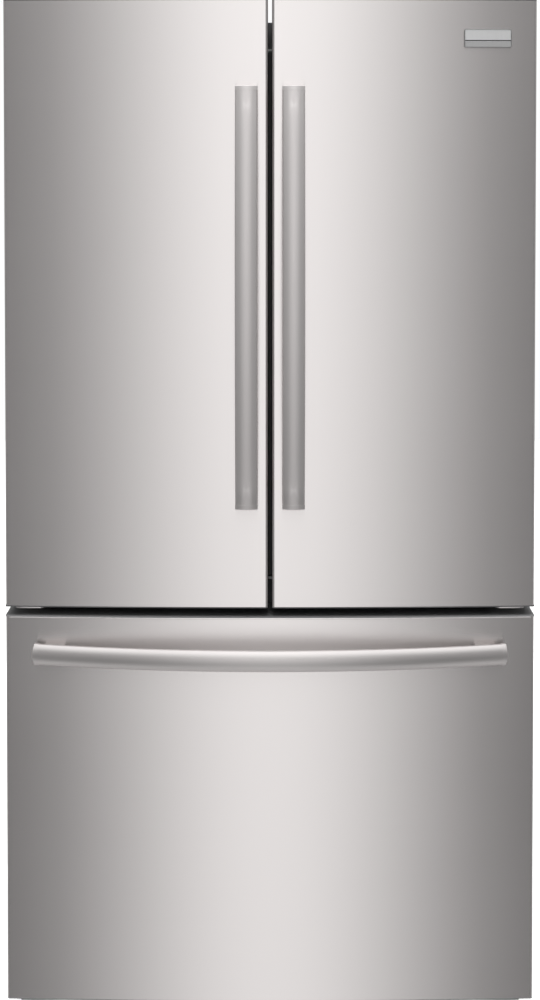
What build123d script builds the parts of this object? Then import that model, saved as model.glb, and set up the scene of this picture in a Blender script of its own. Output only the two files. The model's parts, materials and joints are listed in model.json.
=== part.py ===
"""French door refrigerator: two bowed upper doors, a freezer drawer below, and the works inside.

Frame: +Z up, the front faces -Y, +X is to the right of a person facing the doors.
The origin is on the floor, under the middle of the whole box. All sizes are in millimetres.
"""
from build123d import *
import math
import os

# ------------------------------------------------------------------ driving sizes of the outside
case_width = 905.0
case_top = 1738.0
case_depth = 610.0
case_bottom = 57.0
seal_gap = 14.0            # from the case front to the back of a door
door_depth = 103.0         # thickness of a door at the middle of the bowed front
front_sagitta = 13.0       # how far the front bows out over the full width
handle_reach = 64.0        # how far a handle stands off the door at its middle
handle_end_reach = 25.0

door_top = 1769.0
door_bottom = 732.5
door_split = 7.0           # gap between the two upper doors
drawer_top = 717.5
drawer_bottom = 51.0
door_corner = 4.0          # radius of the upright front edges
cover_top = 1778.0         # top of the hinge covers

# ------------------------------------------------------------------ walls and sheets
case_sheet = 0.8
door_sheet = 0.8
sheet_return = 14.0
cap_plate = 2.0            # end cap seen above and below the steel
cap_lip = 1.0              # how far the caps beside the middle gap stand proud at the sides
cap_wall = 2.4
cap_plug = 24.0
cap_fit = 0.1
liner_wall = 2.5
flange_play = 0.1
tub_corner = 10.0          # inside corner radius of the fridge liner
fridge_wall = 50.5         # side wall, case face to inner liner face
freezer_wall = 57.5
rear_wall = 60.5
flange_width = 46.0        # steel face around the openings

fridge_floor = 762.0
fridge_ceiling = 1688.0
freezer_ceiling = 680.0
freezer_floor = 112.0
freezer_step = 300.0       # floor of the upper part, behind which the machine bay lies
bay_wall = 51.0            # from the lower part of the freezer to the machine bay
bay_depth = 154.5
bay_top = 250.0

# ------------------------------------------------------------------ door hinges
hinge_inset = 26.0         # pin to the side of the cabinet
hinge_setback = 41.5       # pin to the foremost line of the front
pin_radius = 5.0
pin_play = 0.05            # radial, running fit
hinge_plate = 4.0
top_plate_gap = 2.0
center_plate_drop = 2.5
hinge_plate_inner = 388.0
hinge_plate_outer = 438.0
screw_shank = 3.0
screw_head = 6.0
screw_head_height = 4.0
screw_length = 20.0
screw_play = 0.1
screw_inset = 12.0
top_screw_rows = (40.0, 75.0)   # behind the case front
riser_start = 3.0
riser_depth = 10.0
hinge_base_end = 95.0
arm_past_pin = 14.0
plate_corner = 8.0
flange_rise = 17.0         # rail's lower edge to the middle bracket
middle_screw_rise = 8.0
collar_radius = 9.0
collar_gap = 0.3
cover_side_gap = 8.0
cover_front = 24.0         # pin to the front of the hinge cover
cover_back = 106.0
cover_drop = 0.5
cover_lift = 1.0
cover_wall = 2.0
cover_corner = 4.0
cover_round = 3.0

# ------------------------------------------------------------------ handles and badge
door_handle_length = 714.0
door_handle_bottom = 907.0
door_handle_offset = 40.0  # centre line of a door handle from the middle of the front
door_bar_width = 37.5
door_bar_crown = 2.5       # how far the front of the bar bulges across its width
drawer_handle_length = 806.0
drawer_handle_height = 655.0
drawer_bar_width = 35.5
drawer_bar_crown = 8.0
bar_thickness = 15.0
bar_edge = 2.5
foot_inset = 34.0
foot_width = 24.0
foot_length = 34.0

badge_width = 80.0
badge_height = 30.0
badge_thickness = 2.2
badge_x = 369.0
badge_z = 1703.0
badge_band = 10.0
badge_step = 0.6
badge_lift = 0.12
badge_corner = 3.0

# ------------------------------------------------------------------ seals and door liners
seal_width = 14.0
seal_waist = 9.0
seal_foot = 3.0
seal_clear = 0.4
seal_free_inset = 4.0      # from the door edge beside the split
seal_hinge_inset = 28.0
seal_top_inset = 47.0
seal_bottom_inset = 10.0
drawer_seal_inset = 20.0
drawer_seal_top_inset = 20.0
plate_wall = 3.0
plate_inset = 4.0
dyke_height = 45.0
dyke_width = 26.0
dyke_round = 5.0
dyke_hinge_inset = 60.5
dyke_free_x = 52.0
dyke_clear = 16.0          # to the liner of the cabinet, above and below

bin_wall = 2.5
bin_height = 110.0
bin_depth = 107.0
bin_gap = 0.5
left_bin_floors = (808.0, 1110.0, 1390.0)
right_bin_floors = (808.0, 1060.0, 1270.0)
dairy_floor = 1450.0
dairy_height = 84.5
lid_wall = 3.0
lid_pin = 2.0
lid_lip = 16.0
lid_clear = 0.4
lid_axis_gap = 6.0         # inner panel to the pins
lid_axis_rise = 3.5
ear_margin = 5.0
flap_half_width = 22.0
flap_depth = 22.0
flap_clear = 2.0
flap_chamfer = 2.0

# ------------------------------------------------------------------ freezer drawer
slide_height = 40.0
slide_floor = 318.0
slide_reach = 12.0
slide_sheet = 1.5
slide_play = 0.4
slide_front = 14.5
slide_back_gap = 105.0
slide_stagger = 5.0
inner_slide_sheet = 2.0
inner_slide_reach = 19.0
basket_wall = 3.0
lower_basket_floor = 125.0
lower_basket_back_gap = 39.5
upper_basket_height = 113.0
upper_basket_back_gap = 105.5
ledge_top = 510.0
ledge_thickness = 5.0
ledge_back_gap = 55.0
basket_half_width = 368.0
basket_front_gap = 4.0
basket_stagger = 6.0
basket_side_gap = 4.0
basket_lift = 0.4
drain_slot = 8.0
drain_pitch = 100.0
drain_margin = 60.0
field_height = 30.0
field_side_gap = 6.0

# ------------------------------------------------------------------ shelves and crispers
shelf_front = 119.5        # case front to the front edge of the shelves
shelf_back_gap = 13.0
shelf_rim = 18.0
shelf_height = 14.0
glass_thickness = 4.0
left_shelf_levels = (1180.0, 1420.0)
right_shelf_levels = (1120.0, 1330.0, 1530.0)
shelf_gap = 4.0
ladder_width = 12.0
ladder_depth = 6.0
ladder_x = (128.0, 382.0)
ladder_floor = 1010.0
ladder_top = 1640.0
slot_pitch = 30.0
crisper_top = 930.0
crisper_back_gap = 40.0
crisper_wall = 3.0
cover_floor = 940.0        # underside of the crisper cover
cover_height = 22.0
cover_ledge = 6.0
cover_play = 1.0           # crisper cover to each side wall
crisper_rim = 24.0
crisper_side_gap = 8.0
crisper_middle_gap = 5.0
crisper_lift = 0.5
lip_reach = 10.0
lip_drop = 20.0
lip_sheet = 4.0
slider_travel = 40.0
slider_width = 24.0
slider_starts = (-230.0, 170.0)
slider_rise = 8.0          # underside of the cover to the slot
slider_slot = 6.0
slider_slot_depth = 8.0
slider_end_play = 3.0
slider_clear = 0.4
tongue_inset = 2.0
knob_reach = 5.0
knob_margin = 4.0
knob_ribs = 3
shelf_side_gap = 10.0
rebate = 4.0               # how far a pane lies on its rim
glass_play = 0.2
arm_length = 240.0
arm_height = 26.0
arm_sheet = 4.0
ladder_sheet = 2.0
ladder_slot_width = 5.0
ladder_slot_height = 16.0

# ------------------------------------------------------------------ ceiling, duct, filter, ice maker
duct_half = 110.0
duct_depth = 12.0
duct_bottom = 982.0
duct_chamfer = 8.0
louvre_levels = (1060.0, 1160.0, 1260.0, 1360.0, 1460.0, 1560.0)
louvre_slots = 3
louvre_pitch = 9.0
louvre_slot = 4.0
louvre_half = 70.0
louvre_depth = 5.0
strip_half = 150.0
strip_depth = 100.0
strip_height = 24.0
strip_chamfer = 10.0
lens_gap = 20.0
lens_depth = 100.0
lens_height = 5.0
arm_front = 240.0          # shelf front to the arm that carries the filter socket
arm_drop = 12.0
filter_x = 300.0
filter_drop = 38.0
filter_radius = 30.0
filter_round = 6.0
filter_gap = 6.0
spigot_radius = 12.0
spigot_gap = 4.0
socket_radius = 22.0
socket_end = 290.0
socket_collar = 8.0
socket_floor = 20.0
socket_margin = 40.0
socket_block = 20.0
tab_half = 24.0
tab_reach = 12.0
tab_sheet = 8.0
ice_maker_left = -375.0
ice_maker_width = 110.0
ice_maker_back_gap = 73.0
ice_maker_length = 202.0
ice_maker_floor = 565.0
ice_maker_wall = 12.0
ice_maker_end_wall = 10.0
ice_maker_roof = 30.0
ice_drive_length = 34.0
ice_cups = 7
ice_cup = 18.0
ice_cup_pitch = 22.4
ice_cup_floor = 20.0
ice_cup_top = 625.0
ice_chute_floor = 640.0
ice_arm_axis = (-320.0, 590.0)
arm_pivot_radius = 3.0
arm_pivot_length = 20.0
arm_wire = 2.5
arm_wire_drop = 42.0
arm_wire_length = 150.0

# ------------------------------------------------------------------ base and machine bay
pan_sheet = 2.0
runner_inner = 400.0
runner_outer = 436.0
runner_wall = 3.0
runner_floor = 12.0
roller_radius = 20.0
roller_width = 18.0
axle_radius = 4.0
roller_setback = 50.5      # rear panel to the roller axle
leg_radius = 6.0
foot_radius = 18.0
foot_height = 8.0
leg_setback = 34.5         # case front to the middle of a foot
grille_height = 36.0
grille_depth = 22.0
grille_gap = 0.5
grille_side_gap = 12.0
grille_wall = 3.0
grille_slot = 8.0
grille_pitch = 16.0
grille_margin = 10.0
pan_gap = 2.0
runner_front_gap = 8.0
runner_back_gap = 10.0
stem_short = 0.5
hexagon_margin = 4.0
hexagon_height = 6.0
thread_turns = 9
thread_pitch = 3.0
thread_depth = 0.8
thread_gap = 2.0
roller_chamfer = 1.5
spoke_holes = 6
spoke_circle = 12.0
spoke_hole = 3.0
cover_gap = 0.5            # machine bay cover to the rear panel
vent_margin = 50.0
vent_pitch = 40.0
vent_slot = 10.0
vent_bottom = 90.0
vent_top = 215.0

# ------------------------------------------------------------------ cooling parts
fan_shaft = 3.0
fan_blades = 5
fan_hub = 16.0
blade_root = 3.0
blade_pitch = 32.0
blade_chord = 28.0
blade_sheet = 1.6
shaft_length = 14.0
motor_gap = 6.0
motor_radius = 20.0
motor_length = 34.0
bracket_half = 18.0
bracket_sheet = 4.0
condenser_fan_x = -20.0
condenser_fan_height = 150.0
condenser_fan_radius = 60.0
condenser_fan_width = 18.0
condenser_outer = 420.0
condenser_inner = 80.0
condenser_gap = 23.0
condenser_top = 220.0
condenser_fins = 12
evaporator_fan_height = 600.0
evaporator_fan_gap = 42.0
evaporator_fan_radius = 48.0
evaporator_fan_width = 14.0
evaporator_half = 300.0
evaporator_depth = 40.0
evaporator_bottom = 330.0
evaporator_top = 520.0
evaporator_fins = 16
evaporator_sheet = 3.0
evaporator_air_gap = 10.0
evaporator_side_gap = 3.0
evaporator_lift = 2.0
fan_hole = 53.0
return_half = 285.0
return_pitch = 28.0
return_slot = 12.0
return_height = 35.0
return_margin = 13.0
coil_rows = 3
fin_sheet = 1.2
tube_radius = 4.0
tube_inset = 12.0
compressor_x = 200.0
compressor_foot = 10.0
can_radius = 66.0
can_top = 150.0
can_round = 26.0
can_plate = 6.0
can_plate_length = 170.0
can_plate_width = 100.0
can_foot_x = 70.0
can_foot_y = 38.0
can_foot_radius = 9.0
stub_offset = 40.0
stub_height = 18.0

# ------------------------------------------------------------------ worked out from the above
half = case_width / 2
depth = case_depth + seal_gap + door_depth + handle_reach
y_back = depth / 2
y_case = y_back - case_depth
y_door = y_case - seal_gap
y_front = y_door - door_depth
y_plate = y_door + plate_wall
y_pin = y_front + hinge_setback
x_pin = half - hinge_inset
bow_radius = (half ** 2 + front_sagitta ** 2) / (2 * front_sagitta)
fridge_half = half - fridge_wall
freezer_half = half - freezer_wall
y_cavity = y_back - rear_wall
y_bay = y_back - bay_depth
y_step = y_bay - bay_wall
window_half = half - flange_width
rail_top = fridge_floor - 4.0
rail_bottom = freezer_ceiling + 4.0
fridge_window_top = fridge_ceiling + 4.0
freezer_window_bottom = freezer_floor - 4.0
y_shelf = y_case + shelf_front
y_shelf_back = y_cavity - shelf_back_gap
y_crisper_back = y_cavity - crisper_back_gap
y_bin = y_plate + bin_depth
x_runner = (runner_inner + runner_outer) / 2
leg_y = y_case + leg_setback
roller_y = y_back - roller_setback
EPS = 5.0                  # how far a cutting block runs past what it cuts


# ------------------------------------------------------------------ helpers
def block(x0, x1, y0, y1, z0, z1):
    """A box given by its two corners."""
    middle = Pos((x0 + x1) / 2, (y0 + y1) / 2, (z0 + z1) / 2)
    return middle * Box(x1 - x0, y1 - y0, z1 - z0)


def rod_x(radius, x0, x1, y, z):
    return Pos((x0 + x1) / 2, y, z) * Rot(0, 90, 0) * Cylinder(radius, x1 - x0)


def rod_y(radius, x, y0, y1, z):
    return Pos(x, (y0 + y1) / 2, z) * Rot(90, 0, 0) * Cylinder(radius, y1 - y0)


def rod_z(radius, x, y, z0, z1):
    return Pos(x, y, (z0 + z1) / 2) * Cylinder(radius, z1 - z0)


def ring_y(x0, x1, z0, z1, width, y0, y1):
    """A rectangular frame of one width, standing in XZ and as deep as y0 to y1."""
    hole = block(x0 + width, x1 - width, y0 - EPS, y1 + EPS, z0 + width, z1 - width)
    return block(x0, x1, y0, y1, z0, z1) - hole


def open_box(x0, x1, y0, y1, z0, z1, wall):
    """A tub that is open at its top."""
    inside = block(x0 + wall, x1 - wall, y0 + wall, y1 - wall, z0 + wall, z1 + EPS)
    return block(x0, x1, y0, y1, z0, z1) - inside


def spread(reach, pitch):
    """Places a pitch apart, as many as fit within a reach on each side of the middle."""
    count = int(reach / pitch)
    return [pitch * i for i in range(-count, count + 1)]


def left_of(piece):
    """The left-hand copy of a right-hand piece."""
    return mirror(piece, about=Plane.YZ)


def pair(piece):
    return [piece, left_of(piece)]


def save(name, *pieces):
    """Write one node; each piece stays a solid of its own."""
    solids = []
    for piece in pieces:
        solids += piece.solids()
    export_step(Compound(children=solids), f"parts/{name}.step")


# ------------------------------------------------------------------ doors
def front_y(x):
    """Where the bowed front surface lies at a distance x from the middle."""
    return y_front + bow_radius - math.sqrt(bow_radius ** 2 - x ** 2)


def door_outline(x0, x1):
    """Plan of a door: flat back and sides, bowed front, rounded front edges."""
    slab = Pos((x0 + x1) / 2, (y_front + y_door) / 2) * Rectangle(x1 - x0, door_depth)
    outline = slab & Pos(0, y_front + bow_radius) * Circle(bow_radius)
    return fillet(outline.vertices().sort_by(Axis.Y)[:2], door_corner)


def door_skin(x0, x1, z0, z1):
    """Folded steel sheet: front, sides and a return along each back edge."""
    outline = door_outline(x0, x1)
    window = Pos((x0 + x1) / 2, y_door) * Rectangle(x1 - x0 - 2 * sheet_return, 4 * door_sheet)
    sheet = outline - offset(outline, -door_sheet) - window
    return Pos(0, 0, z0 + cap_plate) * extrude(sheet, z1 - z0 - 2 * cap_plate)


def end_cap(x0, x1, lip0, lip1, z_outer, inward, pin_x=None):
    """Moulded cap: the plate that shows, a rim plugged into the sheet and a hinge boss."""
    outline = door_outline(x0, x1)
    rim = offset(outline, -door_sheet - cap_fit) - offset(outline, -door_sheet - cap_fit - cap_wall)
    plate = extrude(door_outline(x0 - lip0, x1 + lip1), inward * cap_plate)
    cap = Pos(0, 0, z_outer) * (plate + extrude(rim, inward * cap_plug))
    if pin_x is not None:
        z_inner = z_outer + inward * cap_plug
        z0, z1 = min(z_outer, z_inner), max(z_outer, z_inner)
        cap += rod_z(3 * pin_radius, pin_x, y_pin, z0, z1)
        cap -= rod_z(pin_radius + pin_play, pin_x, y_pin, z0 - EPS, z1 + EPS)
    return cap


def door_seal(x0, x1, z0, z1):
    """Magnetic seal: a foot on the liner, a bellows and the magnet bulb."""
    y_end = y_case - seal_clear
    y_waist = y_plate + seal_foot
    y_bulb = y_end - seal_foot
    slim = (seal_width - seal_waist) / 2
    foot = ring_y(x0, x1, z0, z1, seal_width, y_plate, y_waist)
    waist = ring_y(x0 + slim, x1 - slim, z0 + slim, z1 - slim, seal_waist, y_waist, y_bulb)
    return foot + waist + ring_y(x0, x1, z0, z1, seal_width, y_bulb, y_end)


def upper_door_liner():
    """Inner panel of the right door: a sheet with a hollow dyke around the bin space."""
    x0, x1 = door_split / 2 + plate_inset, half - plate_inset
    z0, z1 = door_bottom + plate_inset, door_top - plate_inset
    dx0, dx1 = dyke_free_x, half - dyke_hinge_inset
    dz0, dz1 = fridge_floor + dyke_clear, fridge_ceiling - dyke_clear
    y_dyke = y_door + dyke_height
    w = plate_wall
    dyke = ring_y(dx0, dx1, dz0, dz1, dyke_width, y_door, y_dyke)
    dyke = fillet(dyke.edges().group_by(Axis.Y)[-1], dyke_round)
    hollow = ring_y(dx0 + w, dx1 - w, dz0 + w, dz1 - w, dyke_width - 2 * w, y_door - EPS, y_dyke - w)
    return block(x0, x1, y_door, y_plate, z0, z1) + dyke - hollow


def bin_span():
    """The clear width between the two upright dykes of the right door."""
    x0 = dyke_free_x + dyke_width + bin_gap
    return x0, half - dyke_hinge_inset - dyke_width - bin_gap


def door_bin(z0):
    x0, x1 = bin_span()
    return open_box(x0, x1, y_plate, y_bin, z0, z0 + bin_height, bin_wall)


def lid_axis():
    return y_plate + lid_axis_gap, dairy_floor + dairy_height + lid_axis_rise


def dairy_bin():
    """Bin with two ears that carry the pins of its lid."""
    x0, x1 = bin_span()
    y, z = lid_axis()
    tub = open_box(x0, x1, y_plate, y_bin, dairy_floor, dairy_floor + dairy_height, bin_wall)
    for ear in (x0, x1 - bin_wall):
        tub += block(ear, ear + bin_wall, y_plate, y + ear_margin, dairy_floor, z + ear_margin)
    return tub - rod_x(lid_pin + pin_play, x0 - EPS, x1 + EPS, y, z)


def dairy_lid():
    """Clear flap on two pins, with a lip down its front edge."""
    x0, x1 = bin_span()
    y, z = lid_axis()
    inset = bin_wall + lid_clear
    y0, y1 = y_bin + lid_clear, y_bin + lid_clear + lid_wall
    z0 = dairy_floor + dairy_height + lid_clear
    top = block(x0 + inset, x1 - inset, y, y1, z0, z0 + lid_wall)
    lip = block(x0 + inset, x1 - inset, y0, y1, z0 - lid_lip, z0 + lid_wall)
    barrel = rod_x(lid_wall, x0 + inset, x1 - inset, y, z)
    return top + lip + barrel + rod_x(lid_pin, x0, x1, y, z)


def bowed_bar(length, sagitta, width, crown):
    """Handle bar along Z, bowed towards -Y; the foremost point of its front is the origin."""
    crown_radius = (width ** 2 / 4 + crown ** 2) / (2 * crown)
    section = Pos(0, bar_thickness / 2) * Rectangle(width, bar_thickness)
    section = section & Pos(0, crown_radius) * Circle(crown_radius)
    section = fillet(section.vertices(), bar_edge)
    radius = (length ** 2 / 4 + sagitta ** 2) / (2 * sagitta)
    angle = math.degrees(math.asin(length / 2 / radius))
    axis = Axis((0, radius, 0), (1, 0, 0))
    return revolve(section.rotate(axis, -angle), axis, 2 * angle)


def bar_back(s, length, sagitta):
    """How far behind the foremost point the back of the bar lies, s from its middle."""
    radius = (length ** 2 / 4 + sagitta ** 2) / (2 * sagitta)
    return radius - math.sqrt((radius - bar_thickness) ** 2 - s ** 2)


def door_handle():
    """Right door's upright bar on two feet."""
    sagitta = handle_reach - handle_end_reach
    y0 = y_front - handle_reach
    z_mid = door_handle_bottom + door_handle_length / 2
    bar = bowed_bar(door_handle_length, sagitta, door_bar_width, door_bar_crown)
    pieces = [Pos(door_handle_offset, y0, z_mid) * bar]
    s = door_handle_length / 2 - foot_inset
    y1 = y0 + bar_back(s - foot_length / 2, door_handle_length, sagitta)
    for z in (z_mid - s, z_mid + s):
        x0 = door_handle_offset - foot_width / 2
        foot = block(x0, x0 + foot_width, y1, y_front + EPS, z - foot_length / 2, z + foot_length / 2)
        pieces.append(foot - front_solid(z - foot_length, z + foot_length) - pieces[0])
    return pieces


def drawer_handle():
    """The drawer's level bar on two feet."""
    reach_end = front_y(drawer_handle_length / 2) - handle_end_reach
    y0 = y_front - handle_reach
    sagitta = reach_end - y0
    z = drawer_handle_height
    bar = bowed_bar(drawer_handle_length, sagitta, drawer_bar_width, drawer_bar_crown)
    pieces = [Pos(0, y0, z) * Rot(0, 90, 0) * bar]
    s = drawer_handle_length / 2 - foot_inset
    y1 = y0 + bar_back(s - foot_length / 2, drawer_handle_length, sagitta)
    for x in (-s, s):
        x0 = x - foot_length / 2
        foot = block(x0, x0 + foot_length, y1, front_y(s) + EPS, z - foot_width / 2, z + foot_width / 2)
        pieces.append(foot - front_solid(z - foot_width, z + foot_width) - pieces[0])
    return pieces


def front_solid(z0, z1):
    """The space behind the bowed front surface, over a band of heights."""
    return Pos(0, y_front + bow_radius, (z0 + z1) / 2) * Cylinder(bow_radius, z1 - z0)


def badge():
    """Plain two-tier plate on the right door."""
    plate = extrude(RectangleRounded(badge_width, badge_height, badge_corner), badge_thickness)
    band = Pos(0, -badge_height / 2, badge_thickness)
    plate -= band * Box(badge_width + EPS, 2 * badge_band, 2 * badge_step)
    tilt = math.degrees(math.asin(badge_x / bow_radius))
    place = Pos(badge_x, front_y(badge_x) - badge_lift, badge_z)
    return place * Rot(0, 0, tilt) * Rot(90, 0, 0) * plate


def build_upper_doors():
    x0, x1 = door_split / 2, half
    skin = door_skin(x0, x1, door_bottom, door_top)
    caps = [end_cap(x0, x1, 0, cap_lip, door_bottom, 1, x_pin), end_cap(x0, x1, 0, 0, door_top, -1, x_pin)]
    liner = upper_door_liner()
    seal = door_seal(x0 + seal_free_inset, x1 - seal_hinge_inset,
                     door_bottom + seal_bottom_inset, door_top - seal_top_inset)
    save("right_door_skin", skin)
    save("right_door_caps", *caps)
    save("right_door_liner", liner)
    save("right_door_seal", seal)
    save("right_door_handle", *door_handle())
    save("right_door_bins", *[door_bin(z) for z in right_bin_floors], dairy_bin())
    save("dairy_lid", dairy_lid())
    save("badge_plate", badge())
    save("left_door_skin", left_of(skin))
    save("left_door_caps", *[left_of(cap) for cap in caps])
    save("left_door_liner", left_of(liner))
    save("left_door_seal", left_of(seal))
    save("left_door_handle", *[left_of(piece) for piece in door_handle()])
    save("left_door_bins", *[left_of(door_bin(z)) for z in left_bin_floors])


# ------------------------------------------------------------------ freezer drawer
def slide_end():
    return y_cavity - slide_back_gap


def outer_slide():
    """C channel on the freezer liner, open towards the middle."""
    x0, x1 = freezer_half - slide_reach, freezer_half
    z0, z1 = slide_floor, slide_floor + slide_height
    y0, y1 = y_case + slide_front, slide_end()
    hollow = block(x0 - EPS, x1 - slide_sheet, y0 - EPS, y1 + EPS, z0 + slide_sheet, z1 - slide_sheet)
    return block(x0, x1, y0, y1, z0, z1) - hollow


def middle_slide():
    """C channel that runs inside the outer one."""
    x0, x1 = freezer_half - slide_reach, freezer_half - slide_sheet - slide_play
    inset = slide_sheet + slide_play
    z0, z1 = slide_floor + inset, slide_floor + slide_height - inset
    y0, y1 = y_case + slide_front - slide_stagger, slide_end() - slide_stagger
    hollow = block(x0 - EPS, x1 - slide_sheet, y0 - EPS, y1 + EPS, z0 + slide_sheet, z1 - slide_sheet)
    return block(x0, x1, y0, y1, z0, z1) - hollow


def inner_slide():
    """C channel fixed to the drawer panel, open outwards."""
    x1 = freezer_half - 2 * (slide_sheet + slide_play)
    x0 = freezer_half - inner_slide_reach
    inset = 2 * (slide_sheet + slide_play)
    z0, z1 = slide_floor + inset, slide_floor + slide_height - inset
    y0, y1 = y_plate, slide_end() - slide_stagger
    w = inner_slide_sheet
    hollow = block(x0 + w, x1 + EPS, y0 + w, y1 + EPS, z0 + slide_sheet, z1 - slide_sheet)
    return block(x0, x1, y0, y1, z0, z1) - hollow


def rimmed_basket(y0, y1, z0, z1, rim_half):
    """Moulded basket with drain slots in its floor and a flange along each side."""
    half_width = basket_half_width
    tub = open_box(-half_width, half_width, y0, y1, z0, z1, basket_wall)
    for x in spread(half_width - drain_margin, drain_pitch):
        tub -= block(x - drain_slot / 2, x + drain_slot / 2, y0 + drain_margin, y1 - drain_margin,
                     z0 - EPS, z0 + basket_wall + EPS)
    for x0, x1 in ((half_width - basket_wall, rim_half), (-rim_half, basket_wall - half_width)):
        tub += block(x0, x1, y0, y1, z1 - basket_wall, z1)
    return tub


def drawer_liner():
    """Inner panel of the drawer front with a raised field that enters the freezer."""
    x1 = half - plate_inset
    z0, z1 = drawer_bottom + plate_inset, drawer_top - plate_inset
    panel = block(-x1, x1, y_door, y_plate, z0, z1)
    fx = freezer_half - inner_slide_reach - field_side_gap
    fz0, fz1 = freezer_floor + dyke_clear, freezer_ceiling - dyke_clear
    y_field = y_plate + field_height
    w = plate_wall
    field = block(-fx, fx, y_door, y_field, fz0, fz1)
    return panel + field - block(-fx + w, fx - w, y_door - EPS, y_field - w, fz0 + w, fz1 - w)


def build_drawer():
    z0, z1 = drawer_bottom, drawer_top
    seal_in = drawer_seal_inset
    top_cap = end_cap(-half, half, cap_lip, cap_lip, z1, -1)
    save("drawer_skin", door_skin(-half, half, z0, z1))
    save("drawer_caps", end_cap(-half, half, 0, 0, z0, 1), top_cap)
    save("drawer_liner", drawer_liner())
    save("drawer_seal", door_seal(seal_in - half, half - seal_in, freezer_floor - seal_in,
                                  z1 - drawer_seal_top_inset))
    save("drawer_handle", *drawer_handle())
    save("outer_slides", *pair(outer_slide()))
    save("middle_slides", *pair(middle_slide()))
    save("inner_slides", *pair(inner_slide()))
    y0 = y_plate + field_height + basket_front_gap
    slide_top = slide_floor + slide_height - 2 * (slide_sheet + slide_play)
    rim_half = freezer_half - slide_reach - slide_play
    save("lower_basket", rimmed_basket(y0, y_step - lower_basket_back_gap, lower_basket_floor,
                                       slide_top + basket_wall, rim_half))
    top = ledge_top + basket_lift + basket_wall
    save("upper_basket", rimmed_basket(y0 + basket_stagger, y_cavity - upper_basket_back_gap,
                                       top - upper_basket_height, top, freezer_half - basket_side_gap))


# ------------------------------------------------------------------ cabinet shell
def hinge_screw_places():
    """Right-hand screws: (x, y) on the case top, and x on the middle rail."""
    across = [hinge_plate_inner + screw_inset, hinge_plate_outer - screw_inset]
    top = [(x, y_case + y) for x in across for y in top_screw_rows]
    return top, across


def screw_holes(radius):
    """Cutters for the screws of both sides."""
    top, middle = hinge_screw_places()
    cutters = [rod_z(radius, x, y, case_top - screw_length, case_top + EPS) for x, y in top]
    z = middle_screw_height()
    cutters += [rod_y(radius, x, y_case - EPS, y_case + screw_length, z) for x in middle]
    return [hole for cutter in cutters for hole in pair(cutter)]


def middle_screw_height():
    return rail_bottom + flange_rise + middle_screw_rise


def outer_case():
    """Painted steel: sides, top and the face around both openings with its middle rail."""
    t = case_sheet
    case = block(-half, half, y_case, y_back - t, case_bottom, case_top)
    case -= block(t - half, half - t, y_case + t, y_back + EPS, case_bottom - EPS, case_top - t)
    case -= block(-window_half, window_half, y_case - EPS, y_case + EPS, rail_top, fridge_window_top)
    case -= block(-window_half, window_half, y_case - EPS, y_case + EPS, freezer_window_bottom, rail_bottom)
    for hole in screw_holes(screw_shank + screw_play):
        case -= hole
    return case


def freezer_space(grow):
    """The freezer's stepped inside, grown by a wall on every closed side."""
    x, y0 = freezer_half + grow, y_case - (EPS if grow == 0 else 0)
    upper = block(-x, x, y0, y_cavity + grow, freezer_step - grow, freezer_ceiling + grow)
    return upper + block(-x, x, y0, y_step + grow, freezer_floor - grow, freezer_ceiling + grow)


def fridge_space(grow):
    x, y0 = fridge_half + grow, y_case - (EPS if grow == 0 else 0)
    space = block(-x, x, y0, y_cavity + grow, fridge_floor - grow, fridge_ceiling + grow)
    rounded = space.edges().filter_by(Axis.Y) + space.faces().sort_by(Axis.Y)[-1].edges()
    return fillet(rounded, tub_corner + grow)


def liner_flange(z0, z1):
    """Turned-out rim that closes the gap between a tub and its window in the case."""
    x1 = window_half - flange_play
    return block(-x1, x1, y_case, y_case + liner_wall, z0 + flange_play, z1 - flange_play)


def fridge_liner():
    """Moulded tub with a ledge on each side for the crisper cover."""
    tub = fridge_space(liner_wall) + liner_flange(rail_top, fridge_window_top) - fridge_space(0)
    for side in (1, -1):
        x0, x1 = sorted((side * (fridge_half - cover_ledge), side * fridge_half))
        tub += block(x0, x1, y_shelf, y_crisper_back, cover_floor - cover_ledge, cover_floor)
    return tub


def freezer_liner():
    """Moulded tub, stepped over the machine bay, with ledges that carry the upper basket."""
    tub = freezer_space(liner_wall) + liner_flange(freezer_window_bottom, rail_bottom) - freezer_space(0)
    for side in (1, -1):
        x0, x1 = sorted((side * (freezer_half - slide_reach), side * freezer_half))
        y0, y1 = y_case + slide_front, y_cavity - ledge_back_gap
        tub += block(x0, x1, y0, y1, ledge_top - ledge_thickness, ledge_top)
    return tub


def cabinet_foam():
    """Foamed-in-place insulation between the case and both liners."""
    t = case_sheet
    foam = block(t - half, half - t, y_case + t, y_back - t, case_bottom + pan_sheet, case_top - t)
    foam -= fridge_space(liner_wall)
    foam -= freezer_space(liner_wall)
    for z0, z1 in ((rail_top, fridge_window_top), (freezer_window_bottom, rail_bottom)):
        foam -= block(-window_half, window_half, y_case - EPS, y_case + liner_wall, z0, z1)
    foam -= block(-half, half, y_bay, y_back, case_bottom, bay_top)
    for hole in screw_holes(screw_shank + screw_play):
        foam -= hole
    return foam


def slotted_panel(panel, x_list, z0, z1, y0, y1, slot):
    """Cut an upright air slot at each x."""
    for x in x_list:
        panel -= block(x - slot / 2, x + slot / 2, y0 - EPS, y1 + EPS, z0, z1)
    return panel


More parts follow.
